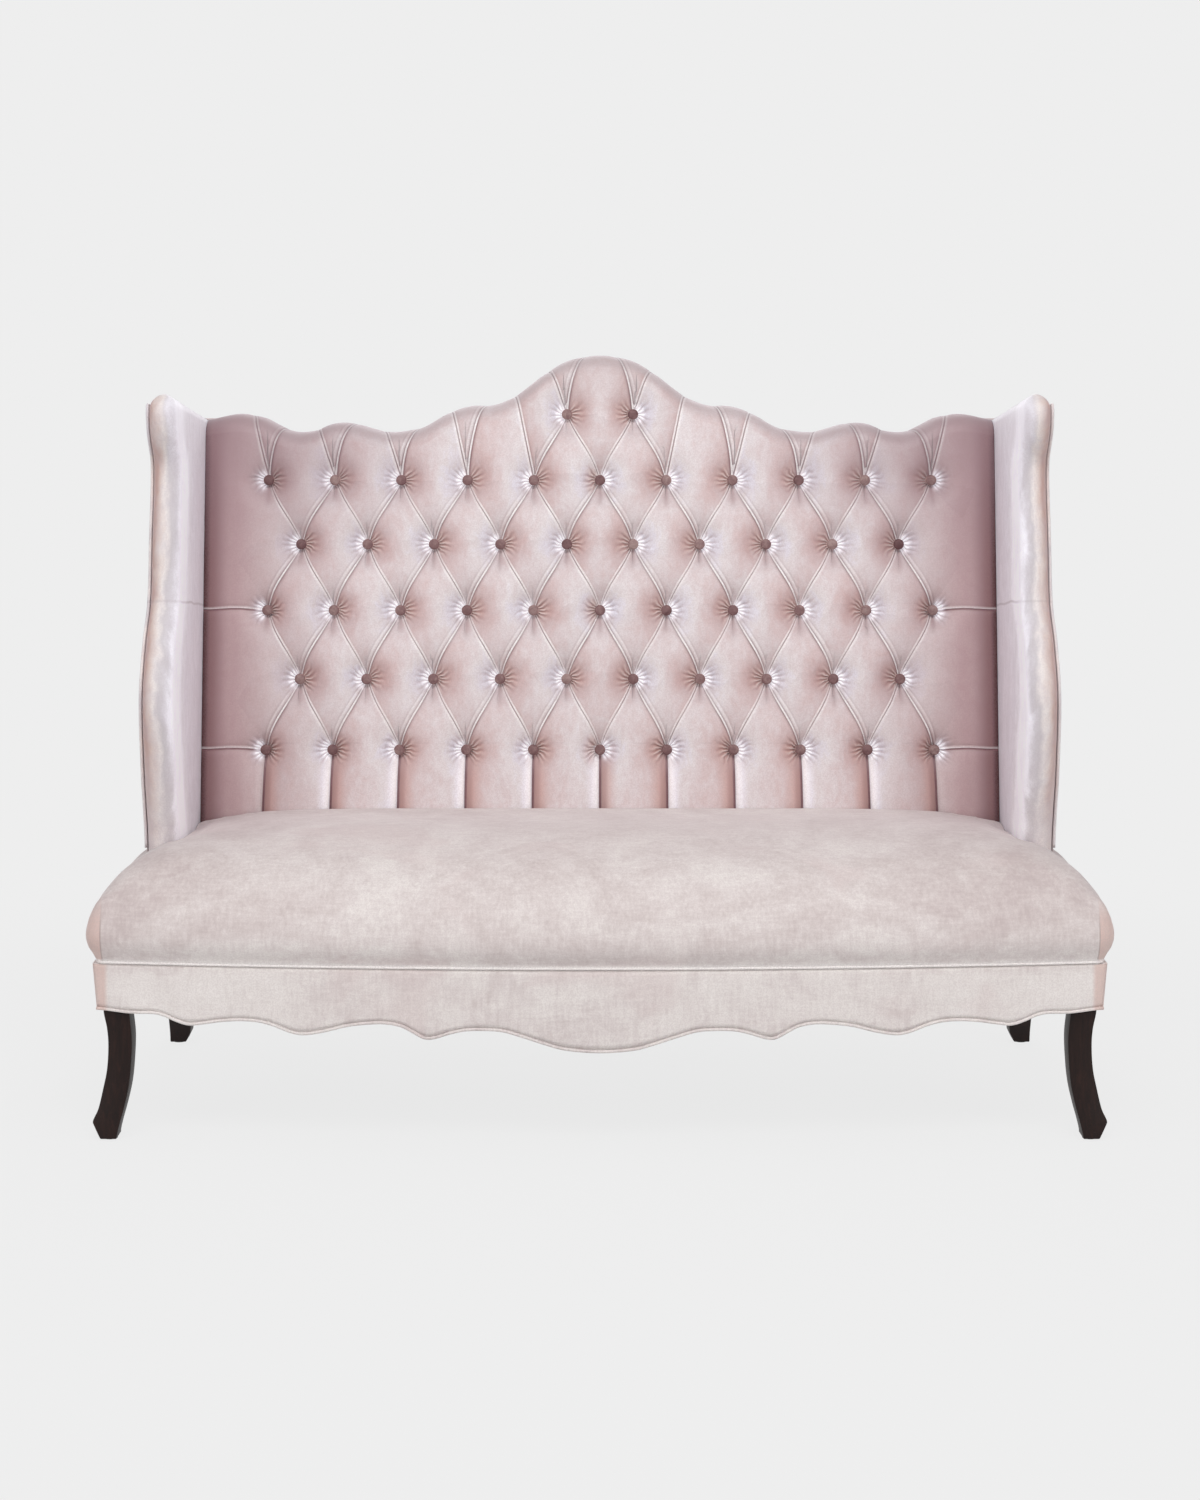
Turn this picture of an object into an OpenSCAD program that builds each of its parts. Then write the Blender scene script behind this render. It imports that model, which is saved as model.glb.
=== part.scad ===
// High back settee: a tight bench seat with a scalloped apron, a diamond-tufted
// back under a serpentine crest, two padded wings and four sabre legs.
// Lengths are millimetres. +X is to the right, +Y to the back, +Z up.
// The origin lies on the floor under the middle of the settee.

/* [Seat] */
// Width over the two side faces of the apron
apron_w = 1842; // [1700:2:2000]
// From the middle of the settee to the front of the apron
apron_front = 412; // [380:1:440]
// How far the front bows out between its corners
bow_depth = 55; // [30:1:80]
// Height of the underside of the frame
frame_z = 238; // [210:1:270]
// Height of the seat rails from edge to edge
rail_h = 76; // [60:1:90]
// Height of the crown of the seat
seat_top = 533; // [500:1:570]
// How far the padded seat swells past the apron
seat_bulge = 20; // [10:1:30]
// Run of the rounded shoulder from the edge to the flat crown
crown_run = 300; // [220:5:340]
// Radius of the seat's upright corners at the apron
seat_corner_r = 14; // [8:1:30]
// From the rear face of the back to the rear end of the seat padding
seat_rear_in = 11.5; // [9:0.5:20]

/* [Apron] */
// Height of the apron's lower edge at its ends
apron_end_z = 241; // [239:1:260]
// How far the middle scallop hangs below the ends
apron_drop = 66; // [40:1:90]
// Thickness of the scalloped apron board
apron_board_t = 18; // [12:1:24]
// How far the padded ends of the apron stand out more at their top than at their foot
side_flare = 7; // [0:1:12]

/* [Back] */
// Lean of the back frame from upright, in degrees
back_lean = 6.23; // [3:0.01:10]
// From the middle of the settee to the rear face at the frame's underside
back_base = 301.5; // [296:0.5:310]
// Length up the slope to the lowest dips of the crest
crest_low = 1044; // [980:1:1100]
// Rise of the middle hump over those dips
crest_rise = 160; // [100:1:190]
// Thickness of the back at the seat, padding and frame together
back_thick_low = 164; // [140:1:180]
// Thickness of the back at the crest
back_thick_high = 124; // [100:1:140]
// Lower end of the back padding, measured up the slope
pad_low = 200; // [180:1:230]
// Length of the padding's roll over the crest
crest_roll = 45; // [30:1:60]

/* [Tufting] */
// From a wing's inner face to the outer button of a long row
tuft_side = 132; // [110:1:150]
// Lowest button row, measured up the slope
tuft_low = 384; // [350:1:400]
// Height of the tufted field, lowest row to highest row
tuft_h = 690; // [640:1:700]
// Depth of a button below the crown of a diamond
tuft_deep = 38; // [25:1:45]
// Radius of a button
button_r = 11; // [8:0.5:14]
// Thickness of a button at its rim
button_rim = 4; // [3:0.5:6]
// Height of a button's dome over its rim
button_dome = 4; // [3:0.5:6]
// Lift of a button off the bottom of its dimple
button_lift = 9; // [8.8:0.1:12]

/* [Wings] */
// From the side face of the apron to a wing's inner face
wing_step = 106; // [100:1:125]
// Padded thickness of a wing at its top
wing_t = 51; // [46:1:55]
// How far a wing's outer face stands out more at its foot than at its top
wing_flare = 14; // [0:1:18]
// Height of the wing's front tip
wing_top = 1361; // [1300:1:1400]
// Fall of the wing's top edge towards the back
wing_fall = 54; // [20:1:80]
// From the middle of the settee back to the wing's front edge at its waist
wing_waist_y = -26; // [-40:1:0]
// How far the wing reaches forward of its waist
wing_sweep = 120; // [80:1:140]
// Thickness of the wing's frame board
wing_board_t = 25; // [18:1:30]
// Distance from the front edge of the padding to the frame board
wing_board_in = 40; // [36:1:60]

/* [Legs] */
// Width of a leg at its top
leg_w = 47; // [40:1:55]
// From the side face of the apron to the outer top edge of a front leg
leg_in = 12; // [9:0.5:20]
// From the apron's face to the front top edge of a front leg
leg_front_in = 5.4; // [5:0.1:10]
// Width of a rear leg
rear_leg_w = 44; // [38:1:48]
// From the side face of the apron to the outer face of a rear leg
rear_leg_in = 21; // [15:1:30]
// From the rear face of the back to the rear top edge of a rear leg
rear_leg_back_in = 7.5; // [7:0.5:12]
// Sweep of a rear leg towards the back
rear_leg_sweep = 68; // [40:1:90]
// Radius of a glide
glide_r = 13; // [10:0.5:14]
// Thickness of a glide
glide_t = 3; // [2:0.5:6]
// Radius of a leg's hanger bolt
bolt_r = 4; // [3:0.5:5]
// Length of the bolt on each side of the leg's top
bolt_reach = 32; // [25:1:40]

/* [Frame and fabric] */
// Thickness of the seat rails
rail_t = 30; // [24:1:36]
// Thickness of the side rails
side_rail_t = 36.7; // [30:0.1:40]
// Depth of the rear rail from front to back
rear_rail_t = 50; // [40:1:50]
// Thickness of the back frame
back_frame_t = 32; // [25:1:36]
// Thickness of the padded cover cloth
fabric_t = 4; // [2:0.1:4]
// Radius of the piping
welt_r = 3; // [2:0.1:3]
// Thickness of the woven deck and back cloths
deck_t = 1.5; // [1:0.1:2]
// Thickness of the spring wire
spring_wire = 4; // [3:0.1:5]
// Clearance between neighbouring pieces
fit_gap = 0.3; // [0.2:0.05:0.5]

/* [Hidden] */

velvet = [0.86, 0.80, 0.79];
blush = [0.80, 0.69, 0.69];
lilac = [0.84, 0.80, 0.84];
mauve = [0.42, 0.30, 0.31];
espresso = [0.17, 0.12, 0.10];
beech = [0.78, 0.66, 0.48];
steel = [0.55, 0.56, 0.58];
jute = [0.70, 0.60, 0.44];
black = [0.08, 0.08, 0.08];

half_w = apron_w / 2;
rail_top = frame_z + rail_h;
clip_h = 7;
clip_w = 20;
seat_low = rail_top + clip_h + deck_t + 2 * fit_gap;
cover_top = seat_low;
bow_r = (half_w * half_w + bow_depth * bow_depth) / (2 * bow_depth);
bow_y = bow_r - apron_front;
wing_in = half_w - wing_step;
post_w = wing_t - fit_gap;
// Half a long row holds five gaps between buttons
tuft_pitch = (wing_in - tuft_side) / 5;
seat_rear = back_base - seat_rear_in;
leg_out = half_w - leg_in;
leg_front = sqrt(bow_r * bow_r - leg_out * leg_out) - bow_y - leg_front_in;
rear_leg_out = half_w - rear_leg_in;
rear_leg_back = back_base - rear_leg_back_in;
bow_steps = 12;
board_in = fabric_t + fit_gap;
rail_in = board_in + apron_board_t + fit_gap;
rail_side = half_w - board_in;
rear_y = back_base - fabric_t - fit_gap - fit_gap;

// Shared curves

// Index of the stretch of a curve that holds u
function stretch(p, u, i = 0) =
    i >= len(p) - 2 || u < p[i + 1][0] ? i : stretch(p, u, i + 1);

// Slope of a curve at its point i, level at both ends
function lean_at(p, i) =
    i == 0 || i == len(p) - 1 ? 0
    : (p[i + 1][1] - p[i - 1][1]) / (p[i + 1][0] - p[i - 1][0]);

// Height of a smooth curve through the points p at u
function curve_at(p, u) =
    let (i = stretch(p, u), w = p[i + 1][0] - p[i][0], t = (u - p[i][0]) / w)
    (2 * t * t * t - 3 * t * t + 1) * p[i][1]
    + (t * t * t - 2 * t * t + t) * w * lean_at(p, i)
    + (3 * t * t - 2 * t * t * t) * p[i + 1][1]
    + (t * t * t - t * t) * w * lean_at(p, i + 1);

function unit(v) = v / norm(v);

// Two triangles for the four corners a, b, c, d in turn
function two(a, b, c, d) = [[a, b, c], [a, c, d]];

// Closed solid through equal rings of points that run clockwise seen from the last ring;
// each end is closed across from side to side
module skin(rings) {
    n = len(rings[0]);
    m = len(rings);
    pts = [for (ring = rings) each ring];
    walls = [for (k = [0:m - 2]) for (i = [0:n - 1])
        let (j = (i + 1) % n)
        each two(k * n + j, (k + 1) * n + j, (k + 1) * n + i, k * n + i)];
    low = [for (i = [0:n / 2 - 2]) each two(n - 1 - i, n - 2 - i, i + 1, i)];
    high = [for (t = low) [t[2] + (m - 1) * n, t[1] + (m - 1) * n, t[0] + (m - 1) * n]];
    polyhedron(concat(pts), concat(walls, low, high));
}

// Piping along a path of points, its section squared to the vector side
module piping(path, r, side, sides = 6) {
    m = len(path);
    rings = [for (i = [0:m - 1])
        let (t = unit(path[min(i + 1, m - 1)] - path[max(i - 1, 0)]),
             v = unit(cross(t, side)), w = cross(v, t))
        [for (k = [0:sides - 1]) path[i]
            + r * cos(360 * (k + 0.5) / sides) * v + r * sin(360 * (k + 0.5) / sides) * w]];
    skin(rings);
}

module both() {
    children();
    mirror([1, 0, 0]) children();
}

// Seat plan

// Everything behind the bowed front, drawn in from the apron's face by inset
module bow_disc(inset) {
    r = bow_r - inset;
    reach = asin(half_w / bow_r) * (bow_steps + 1) / bow_steps;
    polygon(concat(
        [for (i = [-bow_steps - 1:bow_steps + 1]) let (a = reach * i / (bow_steps + 1))
            [r * sin(a), bow_y - r * cos(a)]],
        [[r * sin(reach), 2 * back_base], [-r * sin(reach), 2 * back_base]]));
}

// Upright slab that follows the bow between two insets
module bow_slab(near, far, half, low, high) {
    translate([0, 0, low]) linear_extrude(high - low)
        intersection() {
            difference() {
                bow_disc(near);
                bow_disc(far);
            }
            translate([-half, -2 * apron_front]) square([2 * half, 2 * apron_front]);
        }
}

// Block from the bow's inside back to y1, between x0 and x1
module bow_block(inset, x0, x1, y1, low, high) {
    translate([0, 0, low]) linear_extrude(high - low)
        intersection() {
            bow_disc(inset);
            translate([x0, -2 * apron_front]) square([x1 - x0, 2 * apron_front + y1]);
        }
}

// Outline of the seat, grown by e past the apron, with upright corners of radius r
function seat_ring(e, r, z, sides, corners, fronts) =
    let (cx = half_w + e - r,
         cy = bow_y - sqrt((bow_r + e - r) * (bow_r + e - r) - cx * cx),
         turn = atan2(cy - bow_y, cx),
         right = concat(
            [for (i = [0:sides - 1]) [half_w + e, seat_rear + (cy - seat_rear) * i / sides, z]],
            [for (i = [0:corners - 1]) [cx + r * cos(turn * i / corners),
                cy + r * sin(turn * i / corners), z]],
            [for (i = [0:fronts - 1]) let (a = turn + (-90 - turn) * (i + 0.001) / (fronts - 0.5))
                [(bow_r + e) * cos(a), bow_y + (bow_r + e) * sin(a), z]]))
    concat(right, [for (i = [len(right) - 1:-1:0]) [-right[i][0], right[i][1], z]]);

// Seat frame

module front_rail() {
    color(beech)
        bow_slab(rail_in, rail_in + rail_t, rail_side - side_rail_t - fit_gap, frame_z, rail_top);
}

module rear_rail() {
    color(beech) translate([-rail_side, rear_y - rear_rail_t, frame_z])
        cube([2 * rail_side, rear_rail_t, rail_h]);
}

module side_rail() {
    color(beech) difference() {
        bow_block(rail_in, rail_side - side_rail_t, rail_side,
                  rear_y - rear_rail_t - fit_gap, frame_z, rail_top);
        translate([bolt_x, bolt_y, frame_z - fit_gap])
            cylinder(r = bolt_r + fit_gap, h = bolt_reach + 2 * fit_gap, $fn = 48);
    }
}

module side_rail_right() { side_rail(); }

module side_rail_left() { mirror([1, 0, 0]) side_rail(); }

// Share of the rail's height taken by the stretchers
stretcher_share = 0.7;
// Place of a stretcher between the middle and the side
stretcher_place_share = 0.33;

module seat_stretchers() {
    color(beech) both()
        bow_block(rail_in + rail_t + fit_gap, half_w * stretcher_place_share,
                  half_w * stretcher_place_share + rail_t,
                  rear_y - rear_rail_t - fit_gap, frame_z, frame_z + rail_h * stretcher_share);
}

// Triangular blocks glued into the four inner corners
block_leg = 90;
block_share = 0.6;

module corner_blocks() {
    inner = rail_side - side_rail_t - fit_gap;
    rear = rear_y - rear_rail_t - fit_gap;
    hollow_r = bow_r - rail_in - rail_t - fit_gap;
    front = bow_y - sqrt(hollow_r * hollow_r - inner * inner);
    color(beech) both() translate([0, 0, frame_z]) linear_extrude(rail_h * block_share) {
        intersection() {
            bow_disc(rail_in + rail_t + fit_gap);
            translate([inner, front]) polygon([[0, -bow_depth], [0, block_leg],
                [-block_leg, 0], [-block_leg, -bow_depth]]);
        }
        translate([inner, rear]) polygon([[0, 0], [-block_leg, 0], [0, -block_leg]]);
    }
}

// Ledges on the side rails that carry the wings
sill_w = 60;
sill_h = 25;

module wing_sill() {
    color(beech) translate([rail_side - side_rail_t - fit_gap - sill_w,
                            wing_waist_y - wing_sweep, rail_top - sill_h])
        cube([sill_w, rear_y - rear_rail_t - fit_gap - wing_waist_y + wing_sweep, sill_h]);
}

module wing_sill_right() { wing_sill(); }

module wing_sill_left() { mirror([1, 0, 0]) wing_sill(); }

// Apron

// Half of the scalloped edge: share of the half width, share of the drop
apron_shares = [[0, 1], [0.035, 0.98], [0.075, 0.91], [0.11, 0.77], [0.15, 0.59],
    [0.19, 0.43], [0.225, 0.395], [0.265, 0.41], [0.295, 0.5], [0.325, 0.63], [0.345, 0.64],
    [0.37, 0.46], [0.39, 0.32], [0.42, 0.24], [0.46, 0.255], [0.5, 0.33], [0.545, 0.49],
    [0.585, 0.575], [0.61, 0.52], [0.645, 0.34], [0.675, 0.24], [0.71, 0.215], [0.75, 0.255],
    [0.79, 0.34], [0.815, 0.37], [0.84, 0.27], [0.865, 0.13], [0.885, 0.075], [0.93, 0.08],
    [1, 0]];
scallop_steps = 48;

function apron_z(u) = apron_end_z - apron_drop * curve_at(apron_shares, abs(u));

// Everything above the scalloped edge, lifted by up, wider by flare at its top
module scallop_curtain(half, up, high, flare) {
    translate([0, apron_front]) rotate([90, 0, 0]) linear_extrude(2 * apron_front)
        polygon(concat([[-half - flare, high]],
            [for (i = [-scallop_steps:scallop_steps])
                [half * i / scallop_steps, apron_z(i / scallop_steps) + up]],
            [[half + flare, high]]));
}

module apron_board() {
    color(beech) intersection() {
        bow_slab(board_in, board_in + apron_board_t, half_w, 0, rail_top);
        scallop_curtain(rail_side, welt_r, rail_top, 0);
    }
}

module apron_cover() {
    color(velvet) intersection() {
        bow_slab(0, fabric_t, half_w + side_flare + welt_r, 0, cover_top);
        scallop_curtain(half_w, welt_r, cover_top, side_flare);
    }
}

// Piping under the scalloped edge
module apron_welt() {
    color(velvet) piping([for (i = [-scallop_steps:scallop_steps])
        let (x = half_w * i / scallop_steps, r = bow_r - fabric_t / 2)
        [x, bow_y - sqrt(r * r - x * x), apron_z(i / scallop_steps) - fit_gap]],
        welt_r, [0, 1, 0]);
}

// Velvet and wadding on an end of the frame, wrapped round its rear corner
module side_cover() {
    rear = rear_y + fit_gap + fabric_t;
    strip = panel_half + flare_at(frame_z) + 2 * fit_gap;
    color(velvet) {
        intersection() {
            bow_block(fabric_t + fit_gap, half_w - fabric_t, half_w + side_flare, rear,
                      apron_end_z, cover_top);
            translate([0, rear]) rotate([90, 0, 0]) linear_extrude(rear + 2 * apron_front)
                polygon([[half_w - fabric_t, apron_end_z], [half_w, apron_end_z],
                    [half_w + side_flare, cover_top], [half_w - fabric_t, cover_top]]);
        }
        translate([strip, rear_y + fit_gap, apron_end_z])
            cube([half_w - fabric_t / 2 - strip, fabric_t, cover_top - apron_end_z]);
    }
}

module side_cover_right() { side_cover(); }

module side_cover_left() { mirror([1, 0, 0]) side_cover(); }

// Thin cloth closing the frame from below, cut out around the legs
dust_t = 1;
dust_margin = 12;

module dust_cover() {
    legs_in = min(leg_out - leg_w, rear_leg_out - rear_leg_w) - dust_margin;
    color(black) translate([0, 0, frame_z - fit_gap - dust_t]) linear_extrude(dust_t)
        intersection() {
            bow_disc(rail_in + dust_margin);
            union() {
                translate([-legs_in, -2 * apron_front])
                    square([2 * legs_in, 2 * apron_front + rear_y - dust_margin]);
                translate([dust_margin - rail_side, leg_w + dust_margin - leg_front])
                    square([2 * (rail_side - dust_margin), leg_front - leg_w - 2 * dust_margin
                        + rear_leg_back - rear_leg_w - dust_margin]);
            }
        }
}

// Seat springs and padding

spring_z = rail_top + clip_h / 2 - spring_wire / 2;
spring_pairs = 4;
spring_waves = 9;
spring_swing = 20;
wave_steps = 8;
spring_front = apron_front - rail_in - rail_t / 2;
spring_rear = rear_y - rear_rail_t / 2;

function spring_x(k) = (k + 0.5) * (wing_in - 2 * clip_w) / spring_pairs;
function spring_y0(x) = bow_y - sqrt((bow_r - rail_in - rail_t / 2) * (bow_r - rail_in
    - rail_t / 2) - x * x);

// One wire, waved from side to side, straight where the clips hold it
module spring(x) {
    y0 = spring_y0(x);
    run = spring_rear - y0;
    n = spring_waves * wave_steps;
    edge = [for (i = [0:n]) [
        spring_swing * sin(360 * i / wave_steps) * sin(180 * i / n),
        y0 + run * i / n]];
    side = [for (i = [0:n]) let (t = unit(edge[min(i + 1, n)] - edge[max(i - 1, 0)]))
        [-t[1], t[0]] * spring_wire / 2];
    translate([x, 0, spring_z]) linear_extrude(spring_wire)
        polygon(concat([for (i = [0:n]) edge[i] + side[i]],
                       [for (i = [n:-1:0]) edge[i] - side[i]]));
}

module seat_springs() {
    color(steel) for (k = [0:spring_pairs - 1]) {
        spring(spring_x(k));
        spring(-spring_x(k));
    }
}

// Saddle clips nailed to the rails over the wire's ends
module clip(x, y) {
    translate([x - clip_w / 2, y - clip_w / 4, rail_top]) difference() {
        cube([clip_w, clip_w / 2, clip_h]);
        translate([clip_w / 4, -fit_gap, spring_z - rail_top - fit_gap])
            cube([clip_w / 2, clip_w, spring_wire + 2 * fit_gap]);
    }
}

module spring_clips() {
    color(steel) for (k = [0:spring_pairs - 1]) for (s = [-1, 1]) {
        clip(s * spring_x(k), spring_y0(spring_x(k)) + clip_w / 4);
        clip(s * spring_x(k), spring_rear - clip_w / 4);
    }
}

// Cloth over the springs, under the padding
module seat_deck() {
    wing_y = wing_waist_y - wing_sweep - dust_margin;
    color(jute) translate([0, 0, rail_top + clip_h + fit_gap]) linear_extrude(deck_t)
        intersection() {
            bow_disc(board_in + fit_gap);
            union() {
                translate([-wing_in + dust_margin, -2 * apron_front])
                    square([2 * (wing_in - dust_margin), 2 * apron_front + pad_face_y(rail_top)]);
                translate([-rail_side + fit_gap, -2 * apron_front])
                    square([2 * (rail_side - fit_gap), 2 * apron_front + wing_y]);
            }
        }
}

// Seat section below the widest line: share of height, share of bulge
side_shares = [[0.046, 0.2], [0.105, 0.6], [0.2225, 1], [0.366, 0.74], [0.4945, 0.15]];
// Seat section above it: share of height, share of the crown's run
crown_shares = [[0.605, 0.04], [0.71, 0.096], [0.796, 0.168], [0.862, 0.26], [0.91, 0.41],
    [0.959, 0.6], [0.991, 0.82], [1, 1]];
// Growth of the corner radius with the inset
corner_share = 0.5;
notch_h = 2 * (welt_r + fit_gap) + fit_gap;

module seat_form() {
    tall = seat_top - seat_low;
    skin(concat(
        [for (z = [seat_low, seat_low + notch_h])
            seat_ring(-board_in, seat_corner_r - board_in, z, 6, 5, 9)],
        [for (p = side_shares) seat_ring(p[1] * seat_bulge,
            seat_corner_r + p[1] * seat_bulge, seat_low + p[0] * tall, 6, 5, 9)],
        [for (p = crown_shares) seat_ring(-p[1] * crown_run,
            seat_corner_r + p[1] * crown_run * corner_share + seat_bulge,
            seat_low + p[0] * tall, 6, 5, 9)]));
}

module seat_pad() {
    reach = seat_top + seat_bulge;
    color(velvet) difference() {
        seat_form();
        translate([-wing_in - wing_r, 0, 0]) rotate([90, 0, 90])
            linear_extrude(2 * (wing_in + wing_r))
                polygon([[pad_face_y(0) - fit_gap, 0], [pad_face_y(reach) - fit_gap, reach],
                    [2 * back_base, reach], [2 * back_base, 0]]);
        both() translate([wing_in - 2 * fit_gap, 0, 0]) rotate([90, 0, 90])
            linear_extrude(panel_half + wing_flare + fabric_t + 6 * fit_gap - wing_in)
                polygon(concat([for (i = [0:8]) let (h = 0.03 * i - 0.01)
                    [wing_front(max(h, 0)) - 2 * fit_gap, wing_low + h * wing_h]],
                    [[2 * back_base, wing_low + 0.23 * wing_h],
                     [2 * back_base, wing_low - 0.01 * wing_h]]));
    }
}

// Piping in the notch between seat and apron
module seat_welt() {
    z = seat_low + fit_gap + welt_r + fit_gap;
    e = welt_r - fabric_t;
    ring = seat_ring(e, seat_corner_r + e, z, 4, 5, 12);
    color(velvet) piping([for (i = [0:len(ring) - 1]) ring[i]], welt_r, [0, 0, 1]);
}

// Legs

// Outer edge of a front leg: share of height, share of width past the top edge
leg_outer_shares = [[0.125, 0.4], [0.165, 0.33], [0.22, 0.2], [0.38, 0.02], [0.53, -0.12],
    [0.72, -0.165], [0.85, -0.12], [1, 0]];
leg_toe_share = 0.125;
leg_foot_share = 0.085;
// Inner edge of a front leg, from the sole to the top
leg_inner_shares = [[0, 0.45], [0.105, 0.36], [0.22, 0.21], [0.38, 0.04], [0.53, -0.04],
    [0.77, -0.085], [1, 0]];
// Forward sweep of a front leg, from the sole to the top
leg_front_shares = [[0, 0.45], [0.15, 0.32], [0.3, 0.17], [0.5, 0.03], [0.75, -0.05], [1, 0]];
// Sweep of a rear leg: share of height, share of the sweep
rear_sweep_shares = [[0, 1], [0.3, 0.62], [0.6, 0.24], [1, 0]];
leg_steps = 14;
leg_h = frame_z - glide_t;
bolt_x = leg_out - 1.5 * bolt_r - leg_w / 8;
bolt_y = leg_w / 2 - leg_front;
foot_x = leg_out - leg_w + leg_w * (1 + leg_foot_share + 0.45) / 2;
foot_y = leg_w * (1 - 2 * leg_front_shares[0][1]) / 2 - leg_front;
rear_foot_y = rear_leg_back - rear_leg_w / 2 + rear_leg_sweep;
rear_foot_x = rear_leg_out - rear_leg_w / 2 + rear_leg_w * 0.13;

// Sawn outline of a front leg, its outer top corner at zero
module sabre_outline() {
    polygon(concat(
        [[leg_w * leg_foot_share, 0]],
        [for (i = [0:leg_steps]) let (h = leg_toe_share + (1 - leg_toe_share) * i / leg_steps)
            [leg_w * curve_at(leg_outer_shares, h), leg_h * h]],
        [for (i = [leg_steps:-1:0]) let (h = i / leg_steps)
            [leg_w * curve_at(leg_inner_shares, h) - leg_w, leg_h * h]]));
}

// Sawn outline of a front leg seen from the side, its front top corner at zero
module swept_outline() {
    polygon(concat(
        [for (i = [0:leg_steps]) let (h = i / leg_steps)
            [-leg_w * curve_at(leg_front_shares, h), leg_h * h]],
        [for (i = [leg_steps:-1:0]) let (h = i / leg_steps)
            [leg_w - leg_w * curve_at(leg_front_shares, h), leg_h * h]]));
}

module front_leg() {
    color(espresso) translate([leg_out, -leg_front, glide_t]) difference() {
        intersection() {
            translate([0, 2 * leg_w, 0]) rotate([90, 0, 0]) linear_extrude(4 * leg_w)
                sabre_outline();
            translate([-2 * leg_w, 0, 0]) rotate([90, 0, 90]) linear_extrude(4 * leg_w)
                swept_outline();
        }
        translate([bolt_x - leg_out, bolt_y + leg_front, leg_h - bolt_reach - fit_gap])
            cylinder(r = bolt_r + fit_gap, h = bolt_reach + 2 * fit_gap, $fn = 48);
    }
}

module front_leg_right() { front_leg(); }

module front_leg_left() { mirror([1, 0, 0]) front_leg(); }

module rear_leg() {
    color(espresso) intersection() {
        translate([rear_leg_out - rear_leg_w, 2 * back_base, glide_t]) rotate([90, 0, 0])
            linear_extrude(2 * back_base)
                polygon([[rear_leg_w * 0.26, 0], [rear_leg_w, 0], [rear_leg_w, leg_h],
                    [0, leg_h], [0, leg_h * 0.1]]);
        translate([0, rear_leg_back, glide_t]) rotate([90, 0, 90])
            linear_extrude(2 * rear_leg_out)
                polygon(concat(
                    [for (i = [0:leg_steps]) let (h = i / leg_steps)
                        [rear_leg_sweep * curve_at(rear_sweep_shares, h), leg_h * h]],
                    [for (i = [leg_steps:-1:0]) let (h = i / leg_steps)
                        [rear_leg_sweep * curve_at(rear_sweep_shares, h) - rear_leg_w,
                         leg_h * h]]));
    }
}

module rear_leg_right() { rear_leg(); }

module rear_leg_left() { mirror([1, 0, 0]) rear_leg(); }

// Hanger bolts, half in the leg and half in the side rail
module leg_bolts() {
    color(steel) both() translate([bolt_x, bolt_y, frame_z - bolt_reach])
        cylinder(r = bolt_r, h = 2 * bolt_reach, $fn = 48);
}

module glides() {
    color(black) both() {
        translate([foot_x, foot_y, 0]) cylinder(r = glide_r, h = glide_t, $fn = 48);
        translate([rear_foot_x, rear_foot_y, 0]) cylinder(r = glide_r, h = glide_t, $fn = 48);
    }
}

// Back, drawn upright and then leaned

// Half of the crest: share of the half width, share of the rise
crest_shares = [[0, 1], [0.0491, 0.975], [0.0982, 0.89], [0.1423, 0.75], [0.1816, 0.59],
    [0.2209, 0.455], [0.265, 0.36], [0.3288, 0.335], [0.3828, 0.255], [0.4417, 0.085],
    [0.4908, 0.015], [0.5301, 0], [0.5742, 0.04], [0.6184, 0.105], [0.6528, 0.12],
    [0.6871, 0.095], [0.7313, 0.015], [0.7706, 0], [0.8147, 0.08], [0.8589, 0.19],
    [0.9129, 0.242], [1, 0.205]];
// Places of the button rows in the tufted field
row_shares = [0, 0.209, 0.413, 0.61, 0.802, 1];
pad_half = wing_in - fit_gap;
panel_half = wing_in + wing_t;
panel_t = fabric_t;
frame_back = panel_t + fit_gap;
frame_front = frame_back + back_frame_t;
cloth_at = frame_front + fit_gap;
pad_rear = cloth_at + deck_t + fit_gap;
lip_t = 14;
back_slope = (back_thick_low - back_thick_high) / (crest_low + crest_rise);

function crest_s(x) = crest_low + crest_rise * curve_at(crest_shares, min(abs(x) / wing_in, 1));

// Thickness from the rear face to the crown of the tufting at s up the slope
function thick(s) = back_thick_low - back_slope * s;

// Place of the padding's face at the height z
function pad_face_y(z) =
    let (s = (z - frame_z) / cos(back_lean))
    back_base + s * sin(back_lean) - thick(s) / cos(back_lean);

module leaned() {
    translate([0, back_base, frame_z]) rotate([-back_lean, 0, 0]) children();
}

// Board in the plane of the back, from n0 to n1 in front of the rear face
module back_slab(n0, n1) {
    leaned() translate([0, -n0, 0]) rotate([90, 0, 0]) linear_extrude(n1 - n0) children();
}

cols = 23;
function col_x(q) = abs(q) < cols ? q * tuft_pitch / 4 : sign(q) * pad_half;

// Crest line, lowered by down, from side to side
function crest_line(down) = [for (q = [-cols:cols]) [col_x(q), crest_s(col_x(q)) - down]];

post_foot = (rail_top + fit_gap - frame_z) / cos(back_lean) + frame_front * tan(back_lean);
post_top = crest_s(wing_in) - crest_roll;

module back_post() {
    color(beech) intersection() {
        back_slab(frame_back, frame_front)
            polygon([[wing_in, 0], [wing_in + post_w + flare_at(frame_z), 0],
                [wing_in + post_w, post_top], [wing_in, post_top]]);
        translate([0, 0, rail_top + fit_gap]) cube([2 * wing_in, 2 * back_base, wing_top]);
    }
}

module back_post_right() { back_post(); }

module back_post_left() { mirror([1, 0, 0]) back_post(); }

lower_rail_s = 150;
lower_rail_h = 70;
crest_board_s = 900;
stile_w = 45;

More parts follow.
